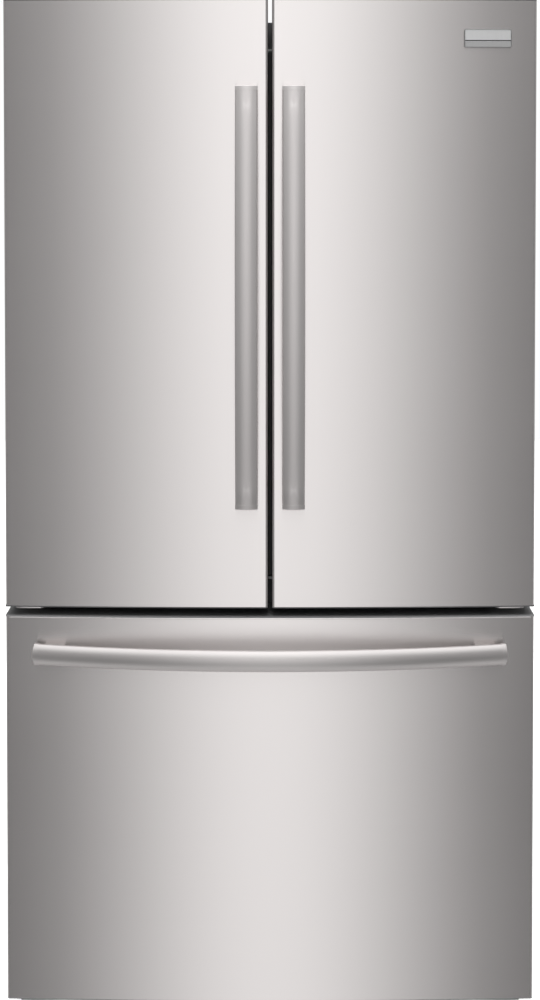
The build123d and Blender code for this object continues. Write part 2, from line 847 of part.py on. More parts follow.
def build_case():
    t = case_sheet
    save("outer_case", outer_case())
    save("rear_panel", block(-half, half, y_back - t, y_back, bay_top, case_top))
    cover = block(-half, half, y_back - t, y_back, case_bottom + pan_sheet, bay_top - cover_gap)
    cover = slotted_panel(cover, spread(half - vent_margin, vent_pitch), vent_bottom, vent_top,
                          y_back - t, y_back, vent_slot)
    save("compressor_cover", cover)
    save("cabinet_foam", cabinet_foam())
    save("fridge_liner", fridge_liner())
    save("freezer_liner", freezer_liner())
    z0 = fridge_floor + flap_clear
    z1 = fridge_ceiling - flap_clear
    flap = block(-flap_half_width, flap_half_width, y_case, y_case + flap_depth, z0, z1)
    save("mullion_flap", chamfer(flap.edges().filter_by(Axis.Z), flap_chamfer))


# ------------------------------------------------------------------ hinges
def top_hinge():
    """Stepped bracket on the case top; its arm reaches over the door and carries the pin."""
    z_arm = door_top + top_plate_gap
    x0, x1 = hinge_plate_inner, hinge_plate_outer
    y_riser = y_case + riser_start
    y_base = y_riser + riser_depth
    base = block(x0, x1, y_base, y_case + hinge_base_end, case_top, case_top + hinge_plate)
    riser = block(x0, x1, y_riser, y_base, case_top, z_arm + hinge_plate)
    arm = block(x0, x1, y_pin - arm_past_pin, y_base, z_arm, z_arm + hinge_plate)
    bracket = base + riser + arm + rod_z(pin_radius, x_pin, y_pin, door_top - cap_plug + 1.0, z_arm)
    for x, y in hinge_screw_places()[0]:
        bracket -= rod_z(screw_shank + screw_play, x, y, case_top - EPS, case_top + 2 * EPS)
    return bracket


def center_hinge():
    """Angle bracket on the middle rail; its plate carries the door's lower pin."""
    z1 = door_bottom - center_plate_drop
    x0, x1 = hinge_plate_inner, hinge_plate_outer
    flange = block(x0, x1, y_case - hinge_plate, y_case, rail_bottom + flange_rise, z1)
    plate = block(x0, x1, y_pin - arm_past_pin, y_case, z1 - hinge_plate, z1)
    plate = fillet(plate.edges().filter_by(Axis.Z).group_by(Axis.Y)[0], plate_corner)
    pin = rod_z(pin_radius, x_pin, y_pin, z1, door_bottom + cap_plug - 1.0)
    collar = rod_z(collar_radius, x_pin, y_pin, z1, door_bottom - collar_gap)
    bracket = flange + plate + pin + collar
    for x in hinge_screw_places()[1]:
        z = middle_screw_height()
        bracket -= rod_y(screw_shank + screw_play, x, y_case - 2 * EPS, y_case + EPS, z)
    return bracket


def hinge_cover():
    """Moulded hood over the top hinge, deep on the case and shallow over the door."""
    x0, x1 = hinge_plate_inner - cover_side_gap, half - cover_lift
    y0, y_drop, y1 = y_pin - cover_front, y_case + cover_drop, y_case + cover_back
    z_low = door_top + cover_lift
    w = cover_wall
    hood = block(x0, x1, y0, y_drop, z_low, cover_top) + block(x0, x1, y_drop, y1, case_top, cover_top)
    uprights = hood.edges().filter_by(Axis.Z).group_by(Axis.Y)
    hood = fillet(uprights[0] + uprights[-1], cover_corner)
    hood = fillet(hood.edges().group_by(Axis.Z)[-1], cover_round)
    space = block(x0 + w, x1 - w, y0 + w, y_drop + w, z_low - EPS, cover_top - w)
    return hood - space - block(x0 + w, x1 - w, y_drop + w, y1 - w, case_top - EPS, cover_top - w)


def hinge_screws():
    """Pan-head screws: four on each top bracket, two on each middle one."""
    top, middle = hinge_screw_places()
    z, z_rail = case_top + hinge_plate, middle_screw_height()
    screws = []
    for x, y in top:
        screws.append(rod_z(screw_head, x, y, z, z + screw_head_height)
                      + rod_z(screw_shank, x, y, case_top - screw_length + 1.0, z))
    y = y_case - hinge_plate
    for x in middle:
        screws.append(rod_y(screw_head, x, y - screw_head_height, y, z_rail)
                      + rod_y(screw_shank, x, y, y_case + screw_length - 1.0, z_rail))
    return [piece for screw in screws for piece in pair(screw)]


def build_hinges():
    save("top_hinges", *pair(top_hinge()))
    save("center_hinges", *pair(center_hinge()))
    save("hinge_covers", *pair(hinge_cover()))
    save("hinge_screws", *hinge_screws())


# ------------------------------------------------------------------ base, legs and rollers
def base_frame():
    """Pan under the cabinet with an inverted channel on each side and riveted roller axles."""
    pan = block(-half + case_sheet, half - case_sheet, y_case + pan_gap, y_back - pan_gap,
                case_bottom, case_bottom + pan_sheet)
    y0, y1 = y_case + runner_front_gap, y_back - runner_back_gap
    w = runner_wall
    for side in (1, -1):
        x0, x1 = sorted((side * runner_inner, side * runner_outer))
        runner = block(x0, x1, y0, y1, runner_floor, case_bottom)
        runner -= block(x0 + w, x1 - w, y0 - EPS, y1 + EPS, runner_floor - EPS, case_bottom - w)
        pan += runner + rod_x(axle_radius, x0, x1, roller_y, roller_radius)
        pan -= rod_z(leg_radius + pin_play, side * x_runner, leg_y, 0, case_bottom + 2 * EPS)
    return pan


def leveling_leg():
    """Screw foot: pad, threaded stem with its grooves, and the hexagon for a spanner."""
    x = x_runner
    stem_top = case_bottom + pan_sheet - stem_short
    leg = rod_z(foot_radius, x, leg_y, 0, foot_height) + rod_z(leg_radius, x, leg_y, foot_height, stem_top)
    hexagon = extrude(RegularPolygon(leg_radius + hexagon_margin, 6), hexagon_height)
    leg += Pos(x, leg_y, foot_height) * hexagon
    for i in range(thread_turns):
        z0 = foot_height + hexagon_height + thread_gap + thread_pitch * i
        z1 = z0 + thread_pitch / 3
        ring = rod_z(leg_radius + EPS, x, leg_y, z0, z1) - rod_z(leg_radius - thread_depth, x, leg_y, z0, z1)
        leg -= ring
    return leg


def rear_roller():
    """Wheel with a ring of lightening holes."""
    x0, x1 = x_runner - roller_width / 2, x_runner + roller_width / 2
    wheel = chamfer(rod_x(roller_radius, x0, x1, roller_y, roller_radius).edges(), roller_chamfer)
    for i in range(spoke_holes):
        angle = 2 * math.pi * i / spoke_holes
        y = roller_y + spoke_circle * math.cos(angle)
        z = roller_radius + spoke_circle * math.sin(angle)
        wheel -= rod_x(spoke_hole, x0 - EPS, x1 + EPS, y, z)
    return wheel - rod_x(axle_radius + pin_play, x0 - EPS, x1 + EPS, roller_y, roller_radius)


def toe_grille():
    """Snap-on front skirt with a row of air slots."""
    x1 = half - grille_side_gap
    y0, y1 = y_case - grille_depth, y_case - grille_gap
    z0, z1 = runner_floor, runner_floor + grille_height
    w = grille_wall
    grille = block(-x1, x1, y0, y1, z0, z1) - block(w - x1, x1 - w, y0 + w, y1 + EPS, z0 + w, z1 - w)
    return slotted_panel(grille, spread(half - vent_margin, grille_pitch), z0 + grille_margin,
                         z1 - grille_margin, y0, y0 + w, grille_slot)


def build_base():
    save("base_frame", base_frame())
    save("toe_grille", toe_grille())
    leg = leveling_leg()
    save("leveling_leg_right", leg)
    save("leveling_leg_left", left_of(leg))
    roller = rear_roller()
    save("rear_roller_right", roller)
    save("rear_roller_left", left_of(roller))


# ------------------------------------------------------------------ refrigeration
def fan_rotor(radius, width, shaft):
    """Axial fan about Z: hub, pitched blades and a shaft behind it."""
    rotor = Cylinder(fan_hub, width)
    root = fan_hub - blade_root
    blade = Rot(blade_pitch, 0, 0) * Box(radius - root, blade_chord, blade_sheet)
    blade = Pos((root + radius) / 2, 0, 0) * blade
    for i in range(fan_blades):
        rotor += Rot(0, 0, 360 / fan_blades * i) * blade
    return rotor + Pos(0, 0, -width / 2 - shaft / 2) * Cylinder(fan_shaft, shaft)


def condenser_place():
    return (y_bay + y_back) / 2, condenser_fan_height


def evaporator_place():
    return evaporator_fan_height, y_cavity - evaporator_fan_gap


def build_fans():
    """Both rotors, and the two motors whose bores their shafts turn in."""
    y, z = condenser_place()
    w = condenser_fan_width
    rotor = fan_rotor(condenser_fan_radius, w, shaft_length)
    save("condenser_fan", Pos(condenser_fan_x, y, z) * Rot(0, -90, 0) * rotor)
    x0 = condenser_fan_x + w / 2 + motor_gap
    motor = rod_x(motor_radius, x0, x0 + motor_length, y, z)
    bracket_x = x0 + motor_length / 3
    motor += block(bracket_x, bracket_x + bracket_sheet, y - bracket_half, y + bracket_half,
                   case_bottom + pan_sheet, z)
    bore = rod_x(fan_shaft + pin_play, x0 - EPS, x0 + shaft_length - motor_gap + 1.0, y, z)
    z, y = evaporator_place()
    w = evaporator_fan_width
    rotor = fan_rotor(evaporator_fan_radius, w, shaft_length)
    save("evaporator_fan", Pos(0, y, z) * Rot(90, 0, 0) * rotor)
    y0 = y + w / 2 + motor_gap
    rear = rod_y(motor_radius, 0, y0, y_cavity, z)
    rear_bore = rod_y(fan_shaft + pin_play, 0, y0 - EPS, y0 + shaft_length - motor_gap + 1.0, z)
    save("fan_motors", motor - bore, rear - rear_bore)


def compressor():
    """Hermetic can on a foot plate with rubber feet, and its two copper stubs."""
    y = condenser_place()[0]
    z0 = case_bottom + pan_sheet
    x = compressor_x
    z_plate = z0 + compressor_foot
    can = fillet(rod_z(can_radius, x, y, z_plate, z0 + can_top).edges(), can_round)
    can += block(x - can_plate_length / 2, x + can_plate_length / 2, y - can_plate_width / 2,
                 y + can_plate_width / 2, z_plate, z_plate + can_plate)
    for dx in (-can_foot_x, can_foot_x):
        for dy in (-can_foot_y, can_foot_y):
            can += rod_z(can_foot_radius, x + dx, y + dy, z0, z_plate)
    for dx in (-stub_offset, stub_offset):
        can += rod_z(tube_radius, x + dx, y, z0 + can_top - can_round, z0 + can_top + stub_height)
    return can


def finned_coil(x1, x2, y0, y1, z0, z1, fins, rows):
    """Fins across X joined by two upright rows of straight tubes."""
    pitch = (x2 - x1) / fins
    fin_places = [x1 + pitch * (i + 0.5) for i in range(fins)]
    plates = [block(x - fin_sheet / 2, x + fin_sheet / 2, y0, y1, z0, z1) for x in fin_places]
    rise = (z1 - z0) / rows
    heights = [z0 + rise * (i + 0.5) for i in range(rows)]
    tubes = [rod_x(tube_radius, x1, x2, y, z) for y in (y0 + tube_inset, y1 - tube_inset) for z in heights]
    return plates[0].fuse(*plates[1:], *tubes)


def evaporator_cover():
    """Panel in front of the evaporator: fan hole, return slots and a turned side along each edge."""
    z, y0 = evaporator_place()[0], y_cavity - evaporator_depth - evaporator_air_gap
    w = evaporator_sheet
    x1, z0 = freezer_half - evaporator_side_gap, freezer_step + evaporator_lift
    cover = block(-x1, x1, y0, y0 + w, z0, freezer_ceiling)
    cover -= rod_y(fan_hole, 0, y0 - EPS, y0 + w + EPS, z)
    cover = slotted_panel(cover, spread(return_half, return_pitch), z0 + return_margin,
                          z0 + return_margin + return_height, y0, y0 + w, return_slot)
    for x in (x1 - w, -x1):
        cover += block(x, x + w, y0, y_cavity, z0, freezer_ceiling)
    return cover


def build_refrigeration():
    """Compressor and condenser in the machine bay; evaporator behind its cover in the freezer."""
    save("compressor", compressor())
    coil = finned_coil(-condenser_outer, -condenser_inner, y_bay + condenser_gap, y_back - condenser_gap,
                       case_bottom + pan_sheet, condenser_top, condenser_fins, coil_rows)
    save("condenser_coil", coil)
    coil = finned_coil(-evaporator_half, evaporator_half, y_cavity - evaporator_depth, y_cavity,
                       evaporator_bottom, evaporator_top, evaporator_fins, coil_rows)
    save("evaporator_coil", coil)
    save("evaporator_cover", evaporator_cover())
    build_fans()


# ------------------------------------------------------------------ fresh-food inside
def shelf_spans():
    """(side, level) of each half shelf."""
    return [(-1, z) for z in left_shelf_levels] + [(1, z) for z in right_shelf_levels]


def shelf_frame(side, z):
    """Rim around a glass pane on two steel arms that hook into the ladders."""
    x0, x1 = shelf_gap, fridge_half - shelf_side_gap
    r, lap = shelf_rim, shelf_rim - rebate
    frame = block(x0, x1, y_shelf, y_shelf_back, z, z + shelf_height)
    frame -= block(x0 + r, x1 - r, y_shelf + r, y_shelf_back - r, z - EPS, z + shelf_height + EPS)
    frame -= block(x0 + lap, x1 - lap, y_shelf + lap, y_shelf_back - lap,
                   z + shelf_height - glass_thickness, z + shelf_height + EPS)
    for x in ladder_x:
        frame += block(x - arm_sheet / 2, x + arm_sheet / 2, y_shelf_back - arm_length,
                       y_cavity - ladder_depth, z - arm_height, z)
    return frame if side > 0 else left_of(frame)


def shelf_pane(side, z):
    lap = shelf_rim - rebate + glass_play
    x0, x1 = shelf_gap + lap, fridge_half - shelf_side_gap - lap
    z1 = z + shelf_height
    pane = block(x0, x1, y_shelf + lap, y_shelf_back - lap, z1 - glass_thickness, z1)
    return pane if side > 0 else left_of(pane)


def crisper_cover():
    """Full-width frame over the crispers; its front rail has a slot for each slider."""
    x = fridge_half - cover_play
    z0, z1 = cover_floor, cover_floor + cover_height
    y1 = y_crisper_back
    r, lap = crisper_rim, crisper_rim - rebate
    frame = block(-x, x, y_shelf, y1, z0, z1)
    for x0, x1 in ((r - x, -r / 2), (r / 2, x - r)):
        frame -= block(x0, x1, y_shelf + r, y1 - r, z0 - EPS, z1 + EPS)
    frame -= block(lap - x, x - lap, y_shelf + lap, y1 - lap, z1 - glass_thickness, z1 + EPS)
    for x0 in slider_starts:
        frame -= block(x0 - slider_end_play, x0 + slider_width + slider_travel + slider_end_play,
                       y_shelf - EPS, y_shelf + slider_slot_depth,
                       z0 + slider_rise, z0 + slider_rise + slider_slot)
    return frame


def crisper_pane():
    lap = crisper_rim - rebate + glass_play
    x = fridge_half - cover_play - lap
    z1 = cover_floor + cover_height
    return block(-x, x, y_shelf + lap, y_crisper_back - lap, z1 - glass_thickness, z1)


def humidity_slider(x0):
    """Knob with finger ribs on a tongue that runs in the cover's slot."""
    z0 = cover_floor + slider_rise
    x1 = x0 + slider_width
    y0, y1 = y_shelf - knob_reach, y_shelf - slider_clear
    z_low, z_high = z0 - knob_margin, z0 + slider_slot + knob_margin
    knob = block(x0, x1, y0, y1, z_low, z_high)
    for i in range(knob_ribs):
        x = x0 + slider_width * (i + 0.5) / knob_ribs
        knob -= block(x - 1.0, x + 1.0, y0 - EPS, y0 + 1.0, z_low + 1.0, z_high - 1.0)
    tongue = block(x0 + tongue_inset, x1 - tongue_inset, y1, y_shelf + slider_slot_depth - 1.0,
                   z0 + slider_clear, z0 + slider_slot - slider_clear)
    return knob + tongue


def crisper(side):
    """Clear drawer with a pull lip along its front."""
    x0, x1 = crisper_middle_gap, fridge_half - crisper_side_gap
    tub = open_box(x0, x1, y_shelf, y_crisper_back, fridge_floor + crisper_lift, crisper_top, crisper_wall)
    tub += block(x0, x1, y_shelf - lip_reach, y_shelf + crisper_wall, crisper_top - lip_drop - lip_sheet,
                 crisper_top - lip_drop)
    return tub if side > 0 else left_of(tub)


def shelf_ladder(x):
    """Slotted standard on the back wall."""
    y0 = y_cavity - ladder_depth
    ladder = block(x - ladder_width / 2, x + ladder_width / 2, y0, y_cavity, ladder_floor, ladder_top)
    for i in range(int((ladder_top - ladder_floor) / slot_pitch)):
        z = ladder_floor + slot_pitch * (i + 0.5)
        ladder -= block(x - ladder_slot_width / 2, x + ladder_slot_width / 2, y0 - EPS,
                        y_cavity - ladder_sheet, z - ladder_slot_height / 2, z + ladder_slot_height / 2)
    return ladder


def air_duct():
    """Back cover of the air column with a louvre at each shelf height."""
    y0 = y_cavity - duct_depth
    duct = block(-duct_half, duct_half, y0, y_cavity, duct_bottom, fridge_ceiling - tub_corner)
    duct = chamfer(duct.edges().filter_by(Axis.Z).group_by(Axis.Y)[0], duct_chamfer)
    for z in louvre_levels:
        for i in range(louvre_slots):
            z0 = z + louvre_pitch * i
            duct -= block(-louvre_half, louvre_half, y0 - EPS, y0 + louvre_depth, z0, z0 + louvre_slot)
    return duct


def filter_place():
    return filter_x, fridge_ceiling - filter_drop


def ceiling_module():
    """Control strip and the socket of the water filter, moulded as one unit."""
    z = fridge_ceiling
    fx, fz = filter_place()
    y0, y1 = y_shelf + arm_front, y_shelf + socket_end
    x1 = strip_half
    module = block(-x1, x1, y_shelf, y_shelf + strip_depth, z - strip_height, z)
    module = chamfer(module.edges().filter_by(Axis.X).group_by(Axis.Z)[0].sort_by(Axis.Y)[:1], strip_chamfer)
    module += block(x1 - strip_chamfer, x1, y_shelf + strip_depth - 1.0, y1, z - arm_drop, z)
    module += block(x1 - 1.0, fx + socket_margin, y0, y1, z - arm_drop, z)
    module += rod_y(socket_radius, fx, y0 - socket_collar, y1, fz)
    module += block(fx - socket_block, fx + socket_block, y0, y1, fz, z)
    return module - rod_y(spigot_radius + pin_play, fx, y0 - socket_collar - EPS, y1 - socket_floor, fz)


def filter_cartridge():
    """Round cartridge with a finger tab in front and a spigot behind."""
    fx, fz = filter_place()
    y0, y1 = y_shelf + tab_reach / 2, y_shelf + arm_front - socket_collar - filter_gap
    body = fillet(rod_y(filter_radius, fx, y0, y1, fz).edges(), filter_round)
    tab = block(fx - tab_half, fx + tab_half, y_shelf, y_shelf + tab_reach,
                fz - tab_sheet / 2, fz + tab_sheet / 2)
    y_end = y_shelf + socket_end - socket_floor - spigot_gap
    return body + tab + rod_y(spigot_radius, fx, y1 - filter_round, y_end, fz)


def ice_maker_ends():
    y1 = y_cavity - ice_maker_back_gap
    return y1 - ice_maker_length, y1


def ice_maker():
    """Mould tray with its drive head, hung from the freezer ceiling."""
    x0, x1 = ice_maker_left, ice_maker_left + ice_maker_width
    y0, y1 = ice_maker_ends()
    w = ice_maker_wall
    z_roof = freezer_ceiling - ice_maker_roof
    tray = block(x0, x1, y0, y1, ice_maker_floor, freezer_ceiling)
    for i in range(ice_cups):
        y = y0 + ice_drive_length + ice_cup_pitch * i
        tray -= block(x0 + w, x1 - w, y, y + ice_cup, ice_maker_floor + ice_cup_floor, z_roof)
    y_end = y1 - ice_maker_end_wall
    tray -= block(x0 + w, x1 - w, y0 + ice_drive_length, y_end, ice_cup_top, z_roof)
    tray -= block(x1 - 2 * w, x1 + EPS, y0 + ice_drive_length, y_end, ice_chute_floor, z_roof)
    x, z = ice_arm_axis
    return tray - rod_y(arm_pivot_radius + pin_play, x, y0 - EPS, y0 + arm_pivot_length / 2 + 2.0, z)


def ice_arm():
    """Shut-off wire: pivot, drop arm and a bar under the tray."""
    x, z = ice_arm_axis
    y0 = ice_maker_ends()[0]
    half_pivot = arm_pivot_length / 2
    z_bar = z - arm_wire_drop
    y_drop = y0 - half_pivot + arm_pivot_radius
    arm = rod_y(arm_pivot_radius, x, y0 - half_pivot, y0 + half_pivot, z)
    arm += rod_z(arm_wire, x, y_drop, z_bar, z)
    return arm + rod_y(arm_wire, x, y_drop - arm_wire, y0 + arm_wire_length, z_bar)


def build_inside():
    save("shelf_frames", *[shelf_frame(*place) for place in shelf_spans()], crisper_cover())
    save("shelf_glass", *[shelf_pane(*place) for place in shelf_spans()], crisper_pane())
    left, right = slider_starts
    save("humidity_slider_left", humidity_slider(left))
    save("humidity_slider_right", humidity_slider(right))
    save("crisper_drawers", crisper(-1), crisper(1))
    ladders = [shelf_ladder(x) for x in ladder_x]
    save("shelf_ladders", *ladders, *[left_of(ladder) for ladder in ladders])
    save("air_duct", air_duct())
    z = fridge_ceiling
    y0 = y_shelf + strip_depth + lens_gap
    save("light_lens", block(-strip_half, strip_half - lens_gap, y0, y0 + lens_depth, z - lens_height, z))
    save("ceiling_module", ceiling_module())
    save("filter_cartridge", filter_cartridge())
    save("ice_maker", ice_maker())
    save("ice_arm", ice_arm())


os.makedirs("parts", exist_ok=True)
build_case()
build_hinges()
build_base()
build_refrigeration()
build_inside()
build_drawer()
build_upper_doors()
print("pin axis", round(x_pin, 2), round(y_pin, 2), "front", round(y_front, 2), "case", round(y_case, 2))
print("lid axis", lid_axis(), "slide end", slide_end(), "cavity back", y_cavity)
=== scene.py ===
# %% [markdown]
# # A french door refrigerator, finished around its CAD frame
# The CAD model already holds every size, hinge and slide. This file adds what a camera sees:
# finishes, small formed details, light and a viewpoint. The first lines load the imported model, and
# every later place is read from it, so nothing has to be fitted by eye.

# %% Load the frame
import bpy
import bmesh
import json
import math
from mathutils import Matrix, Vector


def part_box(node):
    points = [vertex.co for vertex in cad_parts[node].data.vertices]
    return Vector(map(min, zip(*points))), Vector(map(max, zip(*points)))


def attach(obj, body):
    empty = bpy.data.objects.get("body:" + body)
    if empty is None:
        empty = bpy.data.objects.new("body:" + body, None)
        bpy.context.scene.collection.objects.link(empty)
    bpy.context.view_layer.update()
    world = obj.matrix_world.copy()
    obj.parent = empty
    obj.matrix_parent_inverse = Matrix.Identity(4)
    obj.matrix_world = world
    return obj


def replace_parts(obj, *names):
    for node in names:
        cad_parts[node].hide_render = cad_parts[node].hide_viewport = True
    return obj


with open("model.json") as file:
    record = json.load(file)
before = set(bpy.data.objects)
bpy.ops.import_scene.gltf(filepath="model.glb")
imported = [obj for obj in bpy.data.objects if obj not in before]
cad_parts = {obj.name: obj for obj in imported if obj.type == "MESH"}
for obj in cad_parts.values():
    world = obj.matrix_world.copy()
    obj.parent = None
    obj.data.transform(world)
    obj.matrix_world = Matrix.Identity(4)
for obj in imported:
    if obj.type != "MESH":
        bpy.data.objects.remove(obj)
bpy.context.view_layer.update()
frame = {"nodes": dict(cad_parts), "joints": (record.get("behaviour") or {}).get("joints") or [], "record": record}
slot_of = {part["node"]: part["material_slot"] for part in frame["record"]["subparts"]}

# %% [markdown]
# Shader maths reads best as plain expressions. `Wire` holds one output socket, and each operator on it
# adds a Math node, so `1 - mask * 0.5` builds the nodes that it looks like. Every other node comes from
# `node`, which takes the type, the settings, and the values or wires of its sockets.


# %% Wires and nodes
class Wire:
    """One output socket of a node tree; arithmetic on it adds Math nodes."""

    def __init__(self, tree, socket):
        self.tree = tree
        self.socket = socket

    def node(self, kind, settings=None, values=None, out=0):
        made = self.tree.nodes.new(kind)
        for key, value in (settings or {}).items():
            setattr(made, key, value)
        for key, value in (values or {}).items():
            if isinstance(value, Wire):
                self.tree.links.new(value.socket, made.inputs[key])
            else:
                made.inputs[key].default_value = value
        return Wire(self.tree, made.outputs[out])

    def math(self, operation, first, second=0.0):
        return self.node("ShaderNodeMath", {"operation": operation}, {0: first, 1: second})

    def __add__(self, other):
        return self.math("ADD", self, other)

    def __radd__(self, other):
        return self.math("ADD", other, self)

    def __sub__(self, other):
        return self.math("SUBTRACT", self, other)

    def __rsub__(self, other):
        return self.math("SUBTRACT", other, self)

    def __mul__(self, other):
        return self.math("MULTIPLY", self, other)

    def __rmul__(self, other):
        return self.math("MULTIPLY", other, self)

    def __truediv__(self, other):
        return self.math("DIVIDE", self, other)

    def __rtruediv__(self, other):
        return self.math("DIVIDE", other, self)

    def __lt__(self, other):
        return self.math("LESS_THAN", self, other)

    def __gt__(self, other):
        return self.math("GREATER_THAN", self, other)

    def mix(self, low, high):
        """Colour `low` where this wire is 0 and `high` where it is 1."""
        values = {"Factor": self, 6: low, 7: high}
        return self.node("ShaderNodeMix", {"data_type": "RGBA"}, values, out=2)


def grey(value):
    return (value, value, value, 1.0)


# %% [markdown]
# A finish is one Principled shader. What is the same all over the surface sits on the shader's own
# sockets; what varies, such as grain, comes in on wires.


# %% Finish helper
def finish(name, **constants):
    """A new material; returns it, its shader node and a wire with the object's own coordinates."""
    material = bpy.data.materials.new(name)
    material.use_nodes = True
    tree = material.node_tree
    shader = tree.nodes["Principled BSDF"]
    for key, value in constants.items():
        shader.inputs[key.replace("_", " ")].default_value = value
    place = Wire(tree, None).node("ShaderNodeTexCoord", out=3)
    return material, shader, place


def feed(shader, **wires):
    for key, wire in wires.items():
        wire.tree.links.new(wire.socket, shader.inputs[key.replace("_", " ")])


def noise(place, stretch, detail=3.0, roughness=0.5, offset=(0.0, 0.0, 0.0)):
    """Noise whose cells are 1 / stretch metres along each axis."""
    scaled = place.node("ShaderNodeMapping", {}, {"Vector": place, "Scale": stretch, "Location": offset})
    return place.node("ShaderNodeTexNoise", {}, {"Vector": scaled, "Scale": 1.0, "Detail": detail,
                                                "Roughness": roughness})


def bump(height, strength, distance):
    return height.node("ShaderNodeBump", {}, {"Height": height, "Strength": strength, "Distance": distance})


finishes = {}

# %% [markdown]
# ## Stainless steel
# Appliance steel is brushed level, along the width of the door. The tiny scratches spread a
# reflection up and down but keep it sharp sideways, which is why a bright window shows as an upright
# streak. The shader's anisotropy does the spreading; a noise stretched to long level threads gives
# the grain itself, and a slow noise the faint clouds that hands and cloths leave.


# %% Brushed steel
STEEL = (0.80, 0.765, 0.757)
CLOUD_SHARE = 0.04
CLOUD_CELLS = (2.2, 2.2, 3.0)


def brushed_steel(name, rough, stretch, rotation=0.25, anisotropic=0.82, grain_share=0.06, painted_light_gain=1.0):
    material, shader, place = finish(name, Metallic=1.0, Anisotropic=anisotropic,
                                     Anisotropic_Rotation=rotation)
    grain = noise(place, stretch, detail=3.0, roughness=0.55)
    cloud = noise(place, CLOUD_CELLS, detail=2.0)
    uneven = grain * grain_share + cloud * CLOUD_SHARE
    # painted_light_gain scales the steel's colour up as painted light; at 1.0 the colour is the steel's own.
    shade = (uneven + (0.98 - grain_share / 2)) * painted_light_gain
    tint = shade.node("ShaderNodeVectorMath", {"operation": "SCALE"}, {0: STEEL, "Scale": shade})
    feed(shader, Base_Color=tint, Roughness=uneven + (rough - 0.05), Normal=bump(grain, 0.05, 0.0001))
    return material


finishes["stainless"] = brushed_steel("stainless", 0.25, (3.0, 3.0, 1400.0), anisotropic=0.95)
# The door handles' colour is raised by a painted_light_gain of 1.18: painted brightness that stands in for the
# brighter reflections on the handles. Their end caps share it.
finishes["handle_steel"] = brushed_steel("handle_steel", 0.38, (900.0, 900.0, 3.0), rotation=0.0,
                                         anisotropic=0.4, grain_share=0.03, painted_light_gain=1.18)
finishes["level_handle_steel"] = brushed_steel("level_handle_steel", 0.42, (3.0, 900.0, 900.0),
                                               rotation=0.25, anisotropic=0.2, grain_share=0.03)
finishes["hinge_steel"] = brushed_steel("hinge_steel", 0.30, (60.0, 300.0, 60.0), anisotropic=0.3)
print("steels", list(finishes))

# %% [markdown]
# ## Painted and galvanised sheet
# The case is sprayed steel. Sprayed paint dries with a shallow orange-peel surface, cells about 2 mm
# across, which breaks up reflections. The hidden sheet is galvanised: zinc crystals grow into
# patches, which Voronoi cells give in one node.


# %% Sheet finishes
def sprayed_paint(name, colour, rough, peel=450.0):
    material, shader, place = finish(name, Roughness=rough)
    cells = noise(place, (peel, peel, peel), detail=1.0)
    wear = noise(place, (5.0, 5.0, 5.0))
    dark = tuple(0.9 * value for value in colour) + (1.0,)
    feed(shader, Base_Color=wear.mix(colour + (1.0,), dark), Normal=bump(cells, 0.10, 0.0004),
         Roughness=wear * 0.12 + (rough - 0.06))
    return material


def zinc_sheet(name):
    material, shader, place = finish(name, Metallic=1.0)
    scaled = place.node("ShaderNodeMapping", {}, {"Vector": place, "Scale": (150.0, 150.0, 150.0)})
    spangle = place.node("ShaderNodeTexVoronoi", {}, {"Vector": scaled, "Scale": 1.0}, out=1)
    value = spangle.node("ShaderNodeSeparateColor", {}, {0: spangle})
    feed(shader, Base_Color=value.mix(grey(0.66), grey(0.76)), Roughness=value * 0.10 + 0.42)
    return material


finishes["grey_paint"] = sprayed_paint("grey_paint", (0.105, 0.105, 0.108), 0.42)
finishes["compressor_paint"] = sprayed_paint("compressor_paint", (0.012, 0.012, 0.012), 0.25, peel=250.0)
finishes["shelf_steel"] = sprayed_paint("shelf_steel", (0.72, 0.72, 0.72), 0.35)
finishes["galvanised"] = zinc_sheet("galvanised")
print("sheet finishes ready")

# %% [markdown]
# ## Plastics, foam and seals
# Moulded plastic takes the texture of its tool: a fine grain on caps and grilles, near gloss on the
# white liners. Seals are soft vinyl, matt with a slight bloom.


# %% Plastic finishes
def moulded(name, colour, rough, grain=900.0, depth=0.12, coat=0.0):
    material, shader, place = finish(name, Coat_Weight=coat, Coat_Roughness=0.12)
    texture = noise(place, (grain, grain, grain), detail=2.0)
    slow = noise(place, (6.0, 6.0, 6.0))
    dark = tuple(0.93 * value for value in colour) + (1.0,)
    feed(shader, Base_Color=slow.mix(colour + (1.0,), dark), Roughness=texture * 0.10 + (rough - 0.05),
         Normal=bump(texture, depth, 0.0002))
    return material


def see_through(name, colour, alpha, rough):
    material, shader, place = finish(name, IOR=1.5)
    smear = noise(place, (9.0, 9.0, 9.0), detail=3.0)
    feed(shader, Alpha=smear * 0.08 + (alpha - 0.04), Roughness=smear * 0.08 + rough,
         Base_Color=smear.mix(colour + (1.0,), tuple(0.95 * value for value in colour) + (1.0,)))
    return material


finishes["door_cap_plastic"] = moulded("door_cap_plastic", (0.055, 0.055, 0.057), 0.42)
finishes["drawer_cap_plastic"] = moulded("drawer_cap_plastic", (0.17, 0.17, 0.172), 0.42)
finishes["black_plastic"] = moulded("black_plastic", (0.010, 0.010, 0.011), 0.40)
finishes["leg_plastic"] = moulded("leg_plastic", (0.03, 0.03, 0.03), 0.55, grain=500.0)
finishes["white_liner"] = moulded("white_liner", (0.80, 0.815, 0.82), 0.22, grain=300.0, depth=0.05,
                                  coat=0.2)
finishes["shelf_trim"] = moulded("shelf_trim", (0.68, 0.69, 0.70), 0.3)
finishes["seal_rubber"] = moulded("seal_rubber", (0.42, 0.42, 0.42), 0.62, grain=700.0)
finishes["foam"] = moulded("foam", (0.78, 0.66, 0.36), 0.9, grain=260.0, depth=0.8)
finishes["clear_plastic"] = see_through("clear_plastic", (0.88, 0.93, 0.95), 0.26, 0.08)
finishes["shelf_pane"] = see_through("shelf_pane", (0.62, 0.80, 0.74), 0.24, 0.04)
print("finishes", len(finishes))


